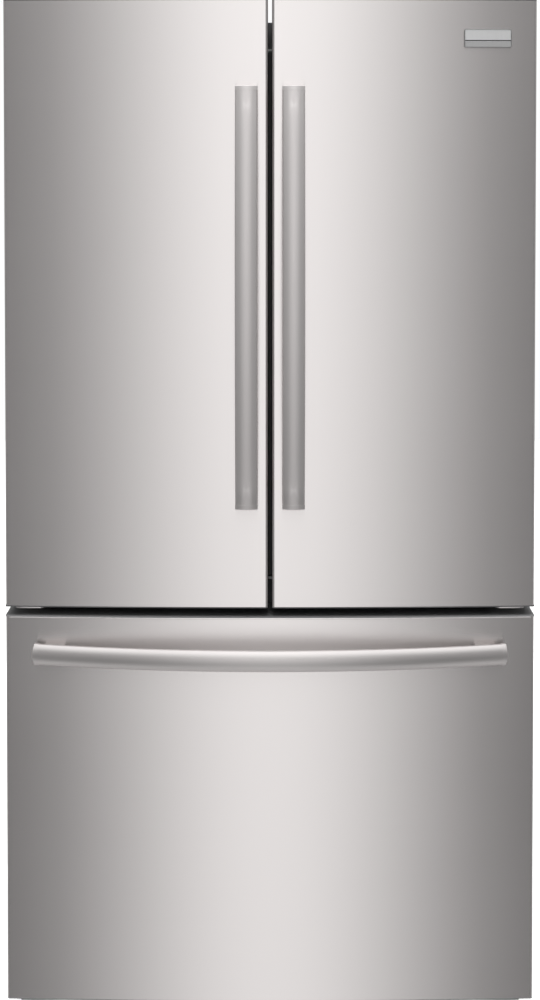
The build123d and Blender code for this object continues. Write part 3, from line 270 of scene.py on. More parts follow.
# %% [markdown]
# ## Aluminium fins, badge and lamp
# Fins are thin mill-finish aluminium. The badge is a satin plate with a darker lower tier and no
# lettering. The lamp lens is frosted and glows a little.


# %% Remaining finishes
def mill_aluminium(name, dull=(0.62, 0.62, 0.62), bright=(0.75, 0.75, 0.75)):
    """Rolled bare metal, dull and bright in fine streaks."""
    material, shader, place = finish(name, Metallic=1.0)
    streak = noise(place, (30.0, 30.0, 400.0))
    feed(shader, Base_Color=streak.mix(dull + (1.0,), bright + (1.0,)), Roughness=streak * 0.2 + 0.3)
    return material


def satin_metal(name, value, rough):
    material, shader, place = finish(name, Metallic=0.9)
    streak = noise(place, (400.0, 400.0, 12.0))
    feed(shader, Base_Color=streak.mix(grey(value * 0.94), grey(value)), Roughness=streak * 0.12 + rough)
    return material


def lit_lens(name):
    material, shader, place = finish(name, Roughness=0.5, Emission_Strength=1.6)
    frost = noise(place, (220.0, 220.0, 220.0))
    feed(shader, Base_Color=frost.mix(grey(0.88), grey(0.95)),
         Emission_Color=frost.mix(grey(0.85), grey(1.0)), Normal=bump(frost, 0.3, 0.0004))
    return material


finishes["coil_aluminium"] = mill_aluminium("coil_aluminium")
finishes["badge"] = satin_metal("badge", 0.90, 0.26)
finishes["badge_band"] = satin_metal("badge_band", 0.62, 0.30)
# A near-black strip: painted shadow at the step between the badge's two tiers.
finishes["badge_line"] = satin_metal("badge_line", 0.10, 0.45)
# The rim's dark finish is painted shade along the edges of the badge plate.
finishes["badge_rim_painted_shade"] = satin_metal("badge_rim_painted_shade", 0.40, 0.40)
finishes["lit_lens"] = lit_lens("lit_lens")
finishes["copper"] = mill_aluminium("copper", (0.66, 0.33, 0.20), (0.80, 0.45, 0.29))

# %% Give each CAD node its finish
special = {"light_lens": "lit_lens", "drawer_handle": "level_handle_steel",
           "drawer_caps": "drawer_cap_plastic"}
for name in frame["nodes"]:
    cad = bpy.data.objects[name]
    material = finishes[special.get(name, slot_of[name])]
    cad.data.materials.clear()
    cad.data.materials.append(material)
print("finished", len(frame["nodes"]), "nodes with", len(finishes), "finishes")

# %% [markdown]
# ## Pieces made here
# Each new piece is a mesh that rides on the body it belongs to. `add_piece` takes a bmesh, gives the
# piece the finish of its slot or the one that `look` names, and hangs it on its body, so that no piece
# can be left behind when a door opens.

# %% Piece helpers
body_of = {node: body for body, nodes in frame["record"]["behaviour"]["bodies"].items() for node in nodes}
made = []


def add_piece(name, build, body, slot, look=None, smooth_angle=35.0):
    """Turn a bmesh into a piece that rides on a body; `look` names a finish other than the slot's."""
    bmesh.ops.recalc_face_normals(build, faces=build.faces)
    mesh = bpy.data.meshes.new(name)
    build.to_mesh(mesh)
    build.free()
    mesh.shade_smooth()
    mesh.set_sharp_from_angle(angle=math.radians(smooth_angle))
    piece = bpy.data.objects.new(name, mesh)
    bpy.context.scene.collection.objects.link(piece)
    mesh.materials.append(finishes[look or slot])
    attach(piece, body)
    made.append(name)
    return piece


def join_rings(build, rings, closed_ends=True, closed_loop=False):
    """Skin a list of point rings with quads, and cap or close the run."""
    rows = [[build.verts.new(point) for point in ring] for ring in rings]
    pairs = list(zip(rows, rows[1:]))
    if closed_loop:
        pairs.append((rows[-1], rows[0]))
    for first, second in pairs:
        for i in range(len(first)):
            j = (i + 1) % len(first)
            build.faces.new((first[i], first[j], second[j], second[i]))
    if closed_ends and not closed_loop:
        build.faces.new(rows[0])
        build.faces.new(rows[-1])


def surface(node, x, z):
    """Where a level line from the front first meets a node, and the direction it faces there."""
    found = frame["nodes"][node].ray_cast((x, -5.0, z), (0.0, 1.0, 0.0))
    return found[1], found[2]


# %% [markdown]
# ## Handle ends
# A bar handle is an extrusion, bent, with its two ends closed by polished caps. Each cap repeats the
# bar's section, stands a hair proud of it, and rounds off over the last two millimetres. A list of
# rings does that: each ring is the section, moved along the bar and grown or shrunk a little.

# %% Handle ends
SECTION_POINTS = 14
BAR_THICKNESS = 0.015
DOOR_CROWN = 0.0025
DRAWER_CROWN = 0.008
END_LENGTH = 0.007
END_RINGS = ((-END_LENGTH, 0.0), (-END_LENGTH, 0.0003), (0.0002, 0.0003), (0.0005, 0.0003),
             (0.0012, 0.0001), (0.0018, -0.0005), (0.0022, -0.0013), (0.0024, -0.0024))


def bar_section(width, crown, grow):
    """(across, depth) points around the bar: a crowned front and a flat back."""
    half = width / 2 + grow
    front = []
    for i in range(SECTION_POINTS + 1):
        across = -half + 2 * half * i / SECTION_POINTS
        front.append((across, crown * (across / half) ** 2 - grow))
    back = [(half, BAR_THICKNESS + grow), (-half, BAR_THICKNESS + grow)]
    return front + back


def handle_ends(handle, width, crown, level):
    """Both end caps of a bar; `level` is True for the drawer's bar."""
    low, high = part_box(handle)
    along_axis = 0 if level else 2
    across_axis = 2 if level else 0
    middle_across = (low[across_axis] + high[across_axis]) / 2
    length = high[along_axis] - low[along_axis]
    sagitta = END_SAGITTA["drawer" if level else "door"]
    radius = (length ** 2 / 4 + sagitta ** 2) / (2 * sagitta)
    tilt = math.asin(length / 2 / radius)
    build = bmesh.new()
    for side in (-1, 1):
        end = high[along_axis] if side > 0 else low[along_axis]
        rings = []
        for along, grow in END_RINGS:
            ring = []
            for across, depth in bar_section(width, crown, grow):
                point = [0.0, 0.0, 0.0]
                run = along * math.cos(tilt) - depth * math.sin(tilt)
                point[along_axis] = end + side * run
                point[across_axis] = middle_across + across
                point[1] = low[1] + sagitta + along * math.sin(tilt) + depth * math.cos(tilt)
                ring.append(point)
            rings.append(ring)
        join_rings(build, rings)
    return build


skin_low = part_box("right_door_skin")[0]
reach = skin_low[1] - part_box("right_door_handle")[0][1]
drawer_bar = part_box("drawer_handle")
edge_y = surface("drawer_skin", drawer_bar[1][0] - 0.001, drawer_bar[1][2] + 0.02)[0][1]
END_REACH = 0.025
END_SAGITTA = {"door": reach - END_REACH, "drawer": edge_y - END_REACH - drawer_bar[0][1]}
for side in ("left", "right"):
    low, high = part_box(side + "_door_handle")
    caps = handle_ends(side + "_door_handle", high[0] - low[0], DOOR_CROWN, False)
    add_piece(side + "_handle_ends", caps, side + "_door", "handle_steel")
caps = handle_ends("drawer_handle", drawer_bar[1][2] - drawer_bar[0][2], DRAWER_CROWN, True)
add_piece("drawer_handle_ends", caps, "freezer_drawer", "handle_steel", look="level_handle_steel")
print("handle reach", round(reach, 4), "sagittas", END_SAGITTA)

# %% [markdown]
# ## Rolled edge of the drawer
# The sheet of the drawer front is rolled over along its top, just under the end cap. The roll is a
# round bead that follows the bow of the front, so it catches one long thin line of light.

# %% Rolled edge
BEAD_RADIUS = 0.0011
BEAD_STEPS = 48
BEAD_SIDES = 12
BEAD_INSET = 0.006


def rolled_edge(node):
    """A bead along the top of a bowed sheet, sunk into it by half."""
    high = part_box(node)[1]
    z = high[2] - BEAD_RADIUS
    turns = [2 * math.pi * k / BEAD_SIDES for k in range(BEAD_SIDES)]
    rings = []
    for i in range(BEAD_STEPS + 1):
        x = (high[0] - BEAD_INSET) * (2 * i / BEAD_STEPS - 1)
        y = surface(node, x, z - BEAD_RADIUS)[0][1]
        rings.append([(x, y - BEAD_RADIUS * math.cos(a), z + BEAD_RADIUS * math.sin(a)) for a in turns])
    build = bmesh.new()
    join_rings(build, rings)
    return build


add_piece("drawer_top_edge", rolled_edge("drawer_skin"), "freezer_drawer", "stainless", smooth_angle=50.0)

# %% [markdown]
# ## Badge rim, band and painted step shadow
# The plate on the right door is blank. Its thin rim is coloured dark as painted shade along the plate's
# edges, it has a greyer band along its lower third, and a dark strip above the band is painted shadow at
# the step between the two tiers. All are laid on the plate by its own directions: across, up and out of the door.

# %% Badge
RIM = 0.0011
BAND_SHARE = 0.30
# Height share of the dark strip of painted step shadow above the band.
STEP_SHADOW_SHARE = 0.10
RIM_RINGS = ((0.0004, -0.0016), (0.0004, 0.0004), (-RIM / 2, 0.0007), (-RIM, 0.0004), (-RIM, -0.0010))
STRIP_LIFT = 0.0003
STRIP_DEPTH = 0.0012
STRIP_EDGE = 0.0002


def plate_frame(node):
    """Middle, half width and half height of the plate, with its across, up and outward directions."""
    low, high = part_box(node)
    middle = (low + high) / 2
    place, outward = surface(node, middle[0], high[2] - (high[2] - low[2]) * 0.25)
    up = Vector((0.0, 0.0, 1.0))
    across = up.cross(-outward).normalized() * -1.0
    return place, (high[0] - low[0]) / 2, low[2], high[2], across, up, outward


def rounded_outline(half_width, z0, z1, corner, steps=6):
    """(across, height) points of a rounded rectangle, anticlockwise."""
    points = []
    centres = ((half_width - corner, z0 + corner, -90), (half_width - corner, z1 - corner, 0),
               (corner - half_width, z1 - corner, 90), (corner - half_width, z0 + corner, 180))
    for x, z, start in centres:
        for i in range(steps + 1):
            angle = math.radians(start + 90 * i / steps)
            points.append((x + corner * math.cos(angle), z + corner * math.sin(angle)))
    return points


# The rim piece round the plate; its dark finish is painted shade along the plate's edges.
def badge_rim_painted_shade():
    place, half_width, z0, z1, across, up, outward = plate_frame("badge_plate")
    build = bmesh.new()
    rings = []
    for grow, lift in RIM_RINGS:
        outline = rounded_outline(half_width + grow, z0 - grow, z1 + grow, 0.003 + grow)
        rings.append([place + across * x + up * (z - place[2]) + outward * lift for x, z in outline])
    join_rings(build, rings, closed_loop=True)
    return build


def badge_strip(low_share, high_share, lift):
    """A flat strip across the plate, between two shares of its height."""
    place, half_width, z0, z1, across, up, outward = plate_frame("badge_plate")
    low, high = z0 + RIM + (z1 - z0) * low_share, z0 + (z1 - z0) * high_share
    build = bmesh.new()
    rings = []
    for inset, rise in ((0.0, -STRIP_DEPTH), (0.0, lift - STRIP_EDGE), (STRIP_EDGE, lift)):
        outline = rounded_outline(half_width - RIM - inset, low + inset, high - inset, STRIP_EDGE)
        rings.append([place + across * x + up * (z - place[2]) + outward * rise for x, z in outline])
    join_rings(build, rings)
    return build


# The band is the lower tier's own greyer finish. The strip above it is painted shadow at the step between the
# tiers.
BADGE_STRIPS = (("badge_band", 0.0, BAND_SHARE), ("badge_line", BAND_SHARE, BAND_SHARE + STEP_SHADOW_SHARE))
# The rim carries painted shade along the plate's edges.
add_piece("badge_rim_painted_shade", badge_rim_painted_shade(), "right_door", "badge", look="badge_rim_painted_shade")
for name, low_share, high_share in BADGE_STRIPS:
    strip = badge_strip(low_share, high_share, STRIP_LIFT)
    add_piece(name, strip, "right_door", "badge", look=name, smooth_angle=10.0)

# %% [markdown]
# ## Moulded edges
# No moulded part has a knife edge: the tool leaves a radius of about a millimetre, and that radius is
# what draws a fine line of light along every bin and basket. The CAD parts are square, so each one is
# copied, its triangles are merged back into whole faces, and a Bevel modifier rounds the edges. The
# copy stands in for the CAD node, which keeps its job in the motion model.

# %% Moulded edges
MOULDED = {
    "left_door_bins": 0.0009, "right_door_bins": 0.0009, "dairy_lid": 0.0009, "crisper_drawers": 0.001,
    "lower_basket": 0.001, "upper_basket": 0.001, "left_door_liner": 0.0011, "right_door_liner": 0.0011,
    "drawer_liner": 0.0011, "evaporator_cover": 0.001, "air_duct": 0.0008, "ceiling_module": 0.0012,
    "light_lens": 0.0015, "shelf_frames": 0.0011, "toe_grille": 0.0009, "ice_maker": 0.0012,
    "humidity_slider_left": 0.0004, "humidity_slider_right": 0.0004, "mullion_flap": 0.0015,
    "top_hinges": 0.0008, "center_hinges": 0.0008,
}


def rounded_copy(node, radius):
    """A piece with a small radius on every sharp edge of a CAD node, standing for that node."""
    build = bmesh.new()
    build.from_mesh(frame["nodes"][node].data)
    bmesh.ops.remove_doubles(build, verts=build.verts, dist=1e-6)
    bmesh.ops.dissolve_limit(build, angle_limit=math.radians(0.5), verts=build.verts, edges=build.edges)
    slot = slot_of[node]
    piece = add_piece(node + "_moulded", build, body_of[node], slot, look=special.get(node))
    bevel = piece.modifiers.new("edges", "BEVEL")
    bevel.width = radius
    bevel.segments = 2
    bevel.limit_method = "ANGLE"
    bevel.angle_limit = math.radians(50.0)
    bevel.use_clamp_overlap = False
    bevel.harden_normals = True
    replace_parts(piece, node)
    return piece


for node, radius in MOULDED.items():
    rounded_copy(node, radius)
print("moulded", len(MOULDED))

# %% [markdown]
# ## Door gaskets
# A refrigerator seal is a soft vinyl section pushed into the door liner: a flat foot, thin folds that
# take up the door's tolerance, and a bulb with a magnet strip that meets the steel face. The section
# is drawn once as (out, depth) points and carried round the four sides with mitred corners.

# %% Gaskets
HALF_GASKET = ((0.007, 0.0), (0.007, 0.0022), (0.0048, 0.0030), (0.0060, 0.0042), (0.0044, 0.0052),
               (0.0066, 0.0066), (0.0070, 0.0086), (0.0056, 0.0104))
GASKET = HALF_GASKET + tuple((-out, depth) for out, depth in reversed(HALF_GASKET))


def gasket(node):
    """Sweep the section around the middle line of a plain CAD seal."""
    low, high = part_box(node)
    half = HALF_GASKET[0][0]
    depth_scale = (high[1] - low[1]) / max(depth for out, depth in GASKET)
    corners = ((low[0] + half, low[2] + half, -1, -1), (high[0] - half, low[2] + half, 1, -1),
               (high[0] - half, high[2] - half, 1, 1), (low[0] + half, high[2] - half, -1, 1))
    rings = []
    for x, z, sx, sz in corners:
        rings.append([(x + sx * out, low[1] + deep * depth_scale, z + sz * out) for out, deep in GASKET])
    build = bmesh.new()
    join_rings(build, rings, closed_loop=True)
    return build


for node in ("left_door_seal", "right_door_seal", "drawer_seal"):
    piece = add_piece(node + "_gasket", gasket(node), body_of[node], "seal_rubber", smooth_angle=60.0)
    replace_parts(piece, node)

# %% [markdown]
# ## Pressed rear panel
# A large thin sheet drums unless it is stiffened, so the back has long ribs pressed into it. A press
# stretches the sheet smoothly, so the height of each point is one formula: a smooth step across the
# rib times a smooth step along it. The grid only needs lines close together where the sheet bends.

# %% Rear panel
RIB_HEIGHT = 0.004
RIB_HALF = 0.040
RIB_SLOPE = 0.012
RIB_PLACES = (-0.30, -0.10, 0.10, 0.30)
RIB_MARGIN = 0.10


def smooth_step(value, start, end):
    share = min(max((value - start) / (end - start), 0.0), 1.0)
    return share * share * (3.0 - 2.0 * share)


def rib_height(x, z, z0, z1):
    across = max(1.0 - smooth_step(abs(x - place), RIB_HALF - RIB_SLOPE, RIB_HALF) for place in RIB_PLACES)
    along = smooth_step(z, z0, z0 + RIB_SLOPE) * (1.0 - smooth_step(z, z1 - RIB_SLOPE, z1))
    return RIB_HEIGHT * across * along


def pressed_panel(node):
    low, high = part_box(node)
    z0, z1 = low[2] + RIB_MARGIN, high[2] - RIB_MARGIN
    xs = [low[0], high[0]]
    for place in RIB_PLACES:
        for side in (-1, 1):
            xs += [place + side * (RIB_HALF - RIB_SLOPE * i / 6) for i in range(7)]
    zs = [low[2], high[2]]
    zs += [z0 + RIB_SLOPE * i / 6 for i in range(7)] + [z1 - RIB_SLOPE * i / 6 for i in range(7)]
    xs, zs = sorted(xs), sorted(zs)
    build = bmesh.new()
    outside = [[build.verts.new((x, high[1] + rib_height(x, z, z0, z1), z)) for x in xs] for z in zs]
    inside = [[build.verts.new((x, low[1], z)) for x in xs] for z in zs]
    for i in range(len(zs) - 1):
        for j in range(len(xs) - 1):
            build.faces.new((outside[i][j], outside[i][j + 1], outside[i + 1][j + 1], outside[i + 1][j]))
            build.faces.new((inside[i][j], inside[i + 1][j], inside[i + 1][j + 1], inside[i][j + 1]))
    rim = [(0, j) for j in range(len(xs))] + [(i, len(xs) - 1) for i in range(1, len(zs))]
    rim += [(len(zs) - 1, j) for j in range(len(xs) - 2, -1, -1)]
    rim += [(i, 0) for i in range(len(zs) - 2, 0, -1)]
    for (a, b), (c, d) in zip(rim, rim[1:] + rim[:1]):
        build.faces.new((outside[a][b], inside[a][b], inside[c][d], outside[c][d]))
    return build


rear = add_piece("rear_panel_pressed", pressed_panel("rear_panel"), "cabinet", "galvanised")
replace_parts(rear, "rear_panel")

# %% [markdown]
# ## Sheet screws
# Washer-head screws hold the rear panel and the cover of the machine bay. One hexagon head with a
# flange and a rounded top is drawn with a list of rings, and a loop sets it at each place.

# %% Screws
FLANGE_RADIUS = 0.0065
HEAD_RADIUS = 0.0042
SCREW_RINGS = ((FLANGE_RADIUS, 0.0, 24), (FLANGE_RADIUS, 0.0008, 24), (HEAD_RADIUS + 0.001, 0.0013, 24))
SCREW_INSET = 0.018
SIDE_SCREWS = 6
TOP_SCREWS = 3
COVER_SCREWS = 5
HEX_RINGS = ((HEAD_RADIUS, 0.001), (HEAD_RADIUS, 0.0042), (HEAD_RADIUS - 0.0006, 0.0050))


def hex_screw(build, place, outward, up):
    """One washer-head screw whose flange lies on `place`."""
    across = up.cross(outward)

    def ring(radius, lift, count):
        points = []
        for i in range(count):
            angle = 2 * math.pi * i / count
            points.append(place + outward * lift + (across * math.cos(angle) + up * math.sin(angle)) * radius)
        return points

    join_rings(build, [ring(*values) for values in SCREW_RINGS])
    join_rings(build, [ring(radius, lift, 6) for radius, lift in HEX_RINGS])


def spaced(count):
    """Shares from 0 to 1 for a row of screws."""
    return [i / (count - 1) for i in range(count)]


def rear_screws():
    panel_low, panel_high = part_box("rear_panel")
    cover_low, cover_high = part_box("compressor_cover")
    inset = SCREW_INSET
    places = []
    for share in spaced(SIDE_SCREWS):
        z = panel_low[2] + inset + (panel_high[2] - panel_low[2] - 2 * inset) * share
        places += [(panel_low[0] + inset, z), (panel_high[0] - inset, z)]
    for share in spaced(TOP_SCREWS + 2)[1:-1]:
        x = panel_low[0] + (panel_high[0] - panel_low[0]) * share
        places.append((x, panel_high[2] - inset))
    for share in spaced(COVER_SCREWS):
        x = cover_low[0] + inset + (cover_high[0] - cover_low[0] - 2 * inset) * share
        places += [(x, cover_high[2] - inset / 2), (x, cover_low[2] + inset / 2)]
    build = bmesh.new()
    for x, z in places:
        hex_screw(build, Vector((x, panel_high[1], z)), Vector((0.0, 1.0, 0.0)), Vector((0.0, 0.0, 1.0)))
    return build, len(places)


screws, screw_count = rear_screws()
add_piece("rear_screws", screws, "cabinet", "hinge_steel")
print("rear screws", screw_count)

# %% [markdown]
# ## Bracket screws
# The hinge brackets are held by pan-head screws with a cross recess. A turned head is a few rings of
# shrinking radius, and the recess is a cross of four short slots, cut as a darker sunk star. Drawing
# it as geometry keeps it right from every side.

# %% Hinge screws
PAN_RINGS = ((0.006, 0.0), (0.006, 0.0018), (0.0054, 0.0030), (0.0040, 0.0037), (0.0030, 0.0039))
RECESS_REACH = 0.0024
RECESS_FLOOR_REACH = 0.0021
RECESS_FLOOR = 0.0018
HEAD_HEIGHT = 0.004
SHANK_LENGTH = 0.023
SHANK_RADIUS = 0.003


def cross_ring(place, outward, up, reach, lift, width=0.0009):
    """Twelve points of a cross, as long as `reach` from its middle."""
    across = up.cross(outward)
    points = []
    for quarter in range(4):
        angle = math.radians(90 * quarter)
        a = across * math.cos(angle) + up * math.sin(angle)
        b = up * math.cos(angle) - across * math.sin(angle)
        points += [a * reach - b * width, a * reach + b * width, a * width + b * width]
    return [place + outward * lift + point for point in points]


def turned_ring(place, outward, up, radius, lift, offset=0.0):
    """Twelve points round the screw's axis, the first turned by a share of a step."""
    across = up.cross(outward)
    ring = []
    for i in range(12):
        angle = 2 * math.pi * (i - offset) / 12
        ring.append(place + outward * lift + (across * math.cos(angle) + up * math.sin(angle)) * radius)
    return ring


def pan_screw(build, place, outward, up):
    rows = [turned_ring(place, outward, up, radius, lift, 0.5) for radius, lift in PAN_RINGS]
    rows.append(cross_ring(place, outward, up, RECESS_REACH, PAN_RINGS[-1][1]))
    rows.append(cross_ring(place, outward, up, RECESS_FLOOR_REACH, RECESS_FLOOR))
    join_rings(build, rows)


def loose_parts(source):
    """The low and high corners of each loose part of a bmesh."""
    left = set(source.verts)
    corners = []
    while left:
        island = {left.pop()}
        queue = list(island)
        while queue:
            vert = queue.pop()
            for edge in vert.link_edges:
                other = edge.other_vert(vert)
                if other in left:
                    left.discard(other)
                    island.add(other)
                    queue.append(other)
        low = [min(vert.co[k] for vert in island) for k in range(3)]
        high = [max(vert.co[k] for vert in island) for k in range(3)]
        corners.append((low, high))
    return corners


def bracket_screws():
    """A head at every head of the CAD's group of screws, and its plain shank."""
    source = bmesh.new()
    source.from_mesh(frame["nodes"]["hinge_screws"].data)
    bmesh.ops.remove_doubles(source, verts=source.verts, dist=1e-6)
    places = loose_parts(source)
    source.free()
    build = bmesh.new()
    for low, high in places:
        middle = [(a + b) / 2 for a, b in zip(low, high)]
        if high[2] - low[2] > high[1] - low[1]:
            place = Vector((middle[0], middle[1], high[2] - HEAD_HEIGHT))
            outward, up = Vector((0, 0, 1)), Vector((0, 1, 0))
        else:
            place = Vector((middle[0], low[1] + HEAD_HEIGHT, middle[2]))
            outward, up = Vector((0, -1, 0)), Vector((0, 0, 1))
        pan_screw(build, place, outward, up)
        shank = [turned_ring(place, outward, up, SHANK_RADIUS, lift) for lift in (0.0, -SHANK_LENGTH)]
        join_rings(build, shank)
    return build, len(places)


heads, head_count = bracket_screws()
piece = add_piece("hinge_screws_cross", heads, "cabinet", "hinge_steel")
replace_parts(piece, "hinge_screws")
print("hinge screws", head_count)

# %% [markdown]
# ## Fans
# A moulded axial fan has blades that twist: steep near the hub, flatter at the tip, because the tip
# moves faster. Each blade is a small grid whose pitch and width change with the distance from the
# shaft, given its thickness by bmesh's solidify operator.

# %% Fans
BLADES = 5
BLADE_ROWS = 8
BLADE_COLUMNS = 6
BLADE_SHEET = 0.0014
BLADE_CAMBER = 0.0022
ROOT_PITCH = 52.0
TIP_PITCH = 26.0
TIP_GAP = 0.001
HUB_RADIUS = 0.016
HUB_WIDTH = {"condenser_fan": 0.018, "evaporator_fan": 0.014}
SHAFT_RADIUS = 0.003


def fan_blade(build, at, start, tip, width):
    """A twisted, cambered grid from the hub to the tip; `at` places (radius, angle, along)."""
    root = HUB_RADIUS * 0.9
    grid = []
    for i in range(BLADE_ROWS + 1):
        share = i / BLADE_ROWS
        radius = root + (tip - root) * share
        pitch = math.radians(ROOT_PITCH + (TIP_PITCH - ROOT_PITCH) * share)
        chord = 0.016 + 0.020 * math.sin(math.pi * (0.25 + 0.55 * share))
        row = []
        for j in range(BLADE_COLUMNS + 1):
            run = chord * (j / BLADE_COLUMNS - 0.5)
            camber = BLADE_CAMBER * (1 - (2 * j / BLADE_COLUMNS - 1) ** 2)
            along = min(max(run * math.sin(pitch) + camber, -width / 2), width / 2)
            row.append(build.verts.new(at(radius, start + run * math.cos(pitch) / radius, along)))
        grid.append(row)
    for upper, lower in zip(grid, grid[1:]):
        for j in range(BLADE_COLUMNS):
            build.faces.new((upper[j], upper[j + 1], lower[j + 1], lower[j]))


def fan(node, axis):
    """Hub, twisted blades and shaft along X or Y, in the place of a CAD fan."""
    low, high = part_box(node)
    width = HUB_WIDTH[node]
    shaft = high[axis] - low[axis] - width
    middle = (low + high) / 2
    centre = Vector((middle[0], middle[1], axle_of[body_of[node]][2]))
    centre[axis] = low[axis] + width / 2

    def at(radius, angle, along):
        point = Vector(centre)
        point[1 - axis] += radius * math.cos(angle)
        point[2] += radius * math.sin(angle)
        point[axis] += along
        return point

    build = bmesh.new()
    for blade in range(BLADES):
        fan_blade(build, at, 2 * math.pi * blade / BLADES, (high[2] - low[2]) / 2 - TIP_GAP, width)
    bmesh.ops.solidify(build, geom=list(build.faces), thickness=BLADE_SHEET)
    nose, back = -width / 2, width / 2
    profile = ((0.004, nose - 0.001), (HUB_RADIUS * 0.75, nose), (HUB_RADIUS, nose + 0.004),
               (HUB_RADIUS, back), (SHAFT_RADIUS, back), (SHAFT_RADIUS, back + shaft))
    turns = [2 * math.pi * k / 32 for k in range(32)]
    join_rings(build, [[at(radius, turn, along) for turn in turns] for radius, along in profile])
    return build


axle_of = {joint["child"]: joint["pos_m"] for joint in frame["joints"] if "pos_m" in joint}
for node, axis in (("condenser_fan", 0), ("evaporator_fan", 1)):
    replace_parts(add_piece(node + "_blades", fan(node, axis), body_of[node], slot_of[node]), node)

# %% [markdown]
# ## Refrigerant lines
# Copper tubes join the compressor to the condenser and run up to the evaporator. Tube is bent round a
# former, so every corner is a smooth arc: a NURBS curve through a few corner points with a round bevel.

# %% Refrigerant lines
TUBE_RADIUS = 0.0032


def copper_line(name, points):
    data = bpy.data.curves.new(name, "CURVE")
    data.dimensions = "3D"
    data.bevel_depth = TUBE_RADIUS
    data.bevel_resolution = 4
    data.resolution_u = 10
    spline = data.splines.new("NURBS")
    spline.points.add(len(points) - 1)
    for target, point in zip(spline.points, points):
        target.co = (*point, 1.0)
    spline.order_u = 3
    spline.use_endpoint_u = True
    data.materials.append(finishes["copper"])
    line = bpy.data.objects.new(name, data)
    bpy.context.scene.collection.objects.link(line)
    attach(line, "cabinet")
    return line


can_low, can_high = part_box("compressor")
coil_low, coil_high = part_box("condenser_coil")
stub_y = (can_low[1] + can_high[1]) / 2
stub_z = can_high[2] - 0.004
hot_x, cold_x = (can_low[0] + can_high[0]) / 2 - 0.040, (can_low[0] + can_high[0]) / 2 + 0.040
back_y = can_high[1] - 0.006
coil_z = coil_high[2] - (coil_high[2] - coil_low[2]) / 6
copper_line("discharge_line", [(hot_x, stub_y, stub_z - 0.02), (hot_x, stub_y, stub_z + 0.008),
                               (hot_x - 0.03, stub_y, stub_z + 0.012), (hot_x - 0.06, back_y, stub_z + 0.010),
                               (0.02, back_y, stub_z), (-0.05, back_y, coil_z + 0.01),
                               (coil_high[0] + 0.02, coil_high[1] - 0.012, coil_z),
                               (coil_high[0] - 0.004, coil_high[1] - 0.012, coil_z)])
side_y = stub_y + 0.01
copper_line("suction_line", [(cold_x, stub_y, stub_z - 0.02), (cold_x, stub_y, stub_z + 0.006),
                             (cold_x + 0.03, stub_y, stub_z + 0.010), (cold_x + 0.09, stub_y, stub_z + 0.006),
                             (cold_x + 0.12, side_y, stub_z - 0.03),
                             (cold_x + 0.12, side_y, can_low[2] + 0.06)])
print("pieces made", len(made) + 2)

# %% [markdown]
# ## Floor, light and camera
# The floor is a plain pale disc. The steel is a mirror, so its look is the look of the room: a tall
# bright panel behind the camera that fades to dimmer sides. The world shader paints that panel by
# direction, with a fainter glow to the sides, behind and below. Soft lamps light everything that isn't
# steel; they are hidden from reflections, so the band alone shapes the doors.


# %% Floor
def floor_disc(radius, sides=96):
    mesh = bpy.data.meshes.new("floor")
    build = bmesh.new()
    bmesh.ops.create_circle(build, cap_ends=True, radius=radius, segments=sides)
    build.to_mesh(mesh)
    build.free()
    disc = bpy.data.objects.new("floor", mesh)
    bpy.context.scene.collection.objects.link(disc)
    return disc


FLOOR_RADIUS = 7.0
floor = floor_disc(FLOOR_RADIUS)
floor_paint, floor_shader, floor_place = finish("floor_paint", Roughness=0.7, Emission_Strength=0.42,
                                                Emission_Color=(1.0, 1.0, 1.0, 1.0))
floor_cloud = noise(floor_place, (0.8, 0.8, 0.8))
feed(floor_shader, Base_Color=floor_cloud.mix(grey(0.86), grey(0.90)))
floor.data.materials.append(floor_paint)
floor.visible_glossy = False


# %% World
BAND_WIDTH = 0.181
BAND_HIGH = 1.25
BAND_LOW = 0.85
SIDE_HIGH = 0.08
SIDE_LOW = 0.0
CEILING = 1.1
FLOOR_FILL = 0.30
WIDE_FILL = 0.26


def ramp(wire, start, end, low, high):
    """A wire that runs from `low` to `high` while another runs from `start` to `end`."""
    return wire.node("ShaderNodeMapRange", {}, {0: wire, 1: start, 2: end, 3: low, 4: high})


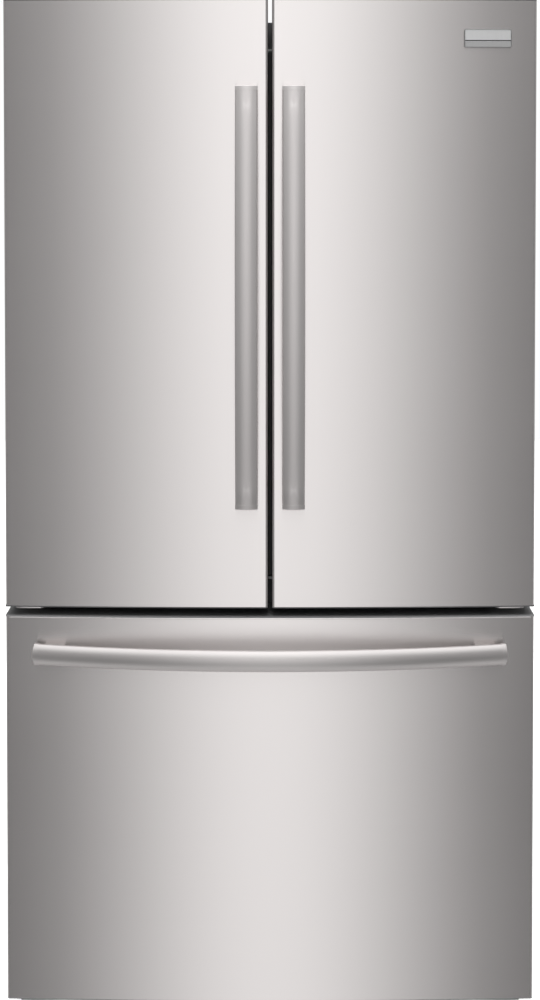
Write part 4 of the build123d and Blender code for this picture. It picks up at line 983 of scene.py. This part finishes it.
def studio_world():
    """Pale for the camera; for light and reflections a bright upright band in front of the doors."""
    world = bpy.data.worlds.new("studio")
    bpy.context.scene.world = world
    world.use_nodes = True
    tree = world.node_tree
    start = Wire(tree, None)
    direction = start.node("ShaderNodeTexCoord", out=0)
    x, y, z = [direction.node("ShaderNodeSeparateXYZ", {}, {0: direction}, out=k) for k in range(3)]
    level = x.math("SQRT", x * x + y * y + 0.0001)
    sideways = x / level / BAND_WIDTH
    bell = x.math("POWER", math.e, -1.0 * (sideways * sideways))
    band = bell * (y < 0.0)
    low = ramp(z, -0.55, 0.25, 0.0, 1.0)
    ceiling = ramp(z, 0.45, 0.95, 0.0, CEILING)
    floor_glow = ramp(z, -0.90, -0.62, FLOOR_FILL, 0.0)
    wide = ramp(x.math("ABSOLUTE", x / level), 0.40, 0.60, 0.0, WIDE_FILL)
    around = x.math("MAXIMUM", wide, (y > 0.0) * WIDE_FILL)
    base = low * (SIDE_HIGH - SIDE_LOW) + SIDE_LOW + ceiling + floor_glow + around
    strength = base + band * (low * (BAND_HIGH - BAND_LOW) + BAND_LOW)
    path = start.node("ShaderNodeLightPath", out=0)
    lit = start.node("ShaderNodeBackground", {}, {"Color": grey(1.0), "Strength": strength})
    pale = start.node("ShaderNodeBackground", {}, {"Color": grey(1.0), "Strength": 1.0})
    shown = start.node("ShaderNodeMixShader", {}, {0: path, 1: lit, 2: pale})
    tree.links.new(shown.socket, tree.nodes["World Output"].inputs[0])


studio_world()


# %% Lamps
LAMP_AIM = (0.0, 0.0, 0.9)
LAMPS = (("lamp_above", (0.0, -1.6, 3.9), (3.0, 2.0), 75.0),
         ("lamp_left", (-3.6, -2.4, 2.2), (1.6, 2.6), 30.0),
         ("lamp_right", (3.6, -2.4, 2.2), (1.6, 2.6), 30.0),
         ("lamp_behind", (1.2, 3.6, 2.8), (2.6, 2.0), 55.0))


def soft_lamp(name, place, aim, size, watts):
    data = bpy.data.lights.new(name, "AREA")
    data.shape = "RECTANGLE"
    data.size, data.size_y = size
    data.energy = watts
    lamp = bpy.data.objects.new(name, data)
    lamp.location = place
    lamp.rotation_euler = (Vector(aim) - Vector(place)).to_track_quat("-Z", "Y").to_euler()
    lamp.visible_glossy = False
    bpy.context.scene.collection.objects.link(lamp)
    return lamp


for name, place, size, watts in LAMPS:
    soft_lamp(name, place, LAMP_AIM, size, watts)

# %% [markdown]
# The camera stands level with the upper doors, straight in front. A long lens keeps the sides nearly
# upright, and a shifted lens brings the drawer into the picture without tilting down to it.

# %% Camera
CAMERA_DISTANCE = 3.2
CAMERA_HEIGHT = 1.475
CAMERA_TILT = 2.0
CAMERA_LENS = 68.0
CAMERA_SHIFT = -0.261
camera_data = bpy.data.cameras.new("camera")
camera = bpy.data.objects.new("camera", camera_data)
camera.location = (0.0, skin_low[1] - CAMERA_DISTANCE, CAMERA_HEIGHT)
camera.rotation_euler = (math.radians(90.0 - CAMERA_TILT), 0.0, 0.0)
camera_data.sensor_width = 36.0
camera_data.lens = CAMERA_LENS
camera_data.shift_y = CAMERA_SHIFT
bpy.context.scene.collection.objects.link(camera)
bpy.context.scene.camera = camera
bpy.context.scene.view_settings.view_transform = "Standard"
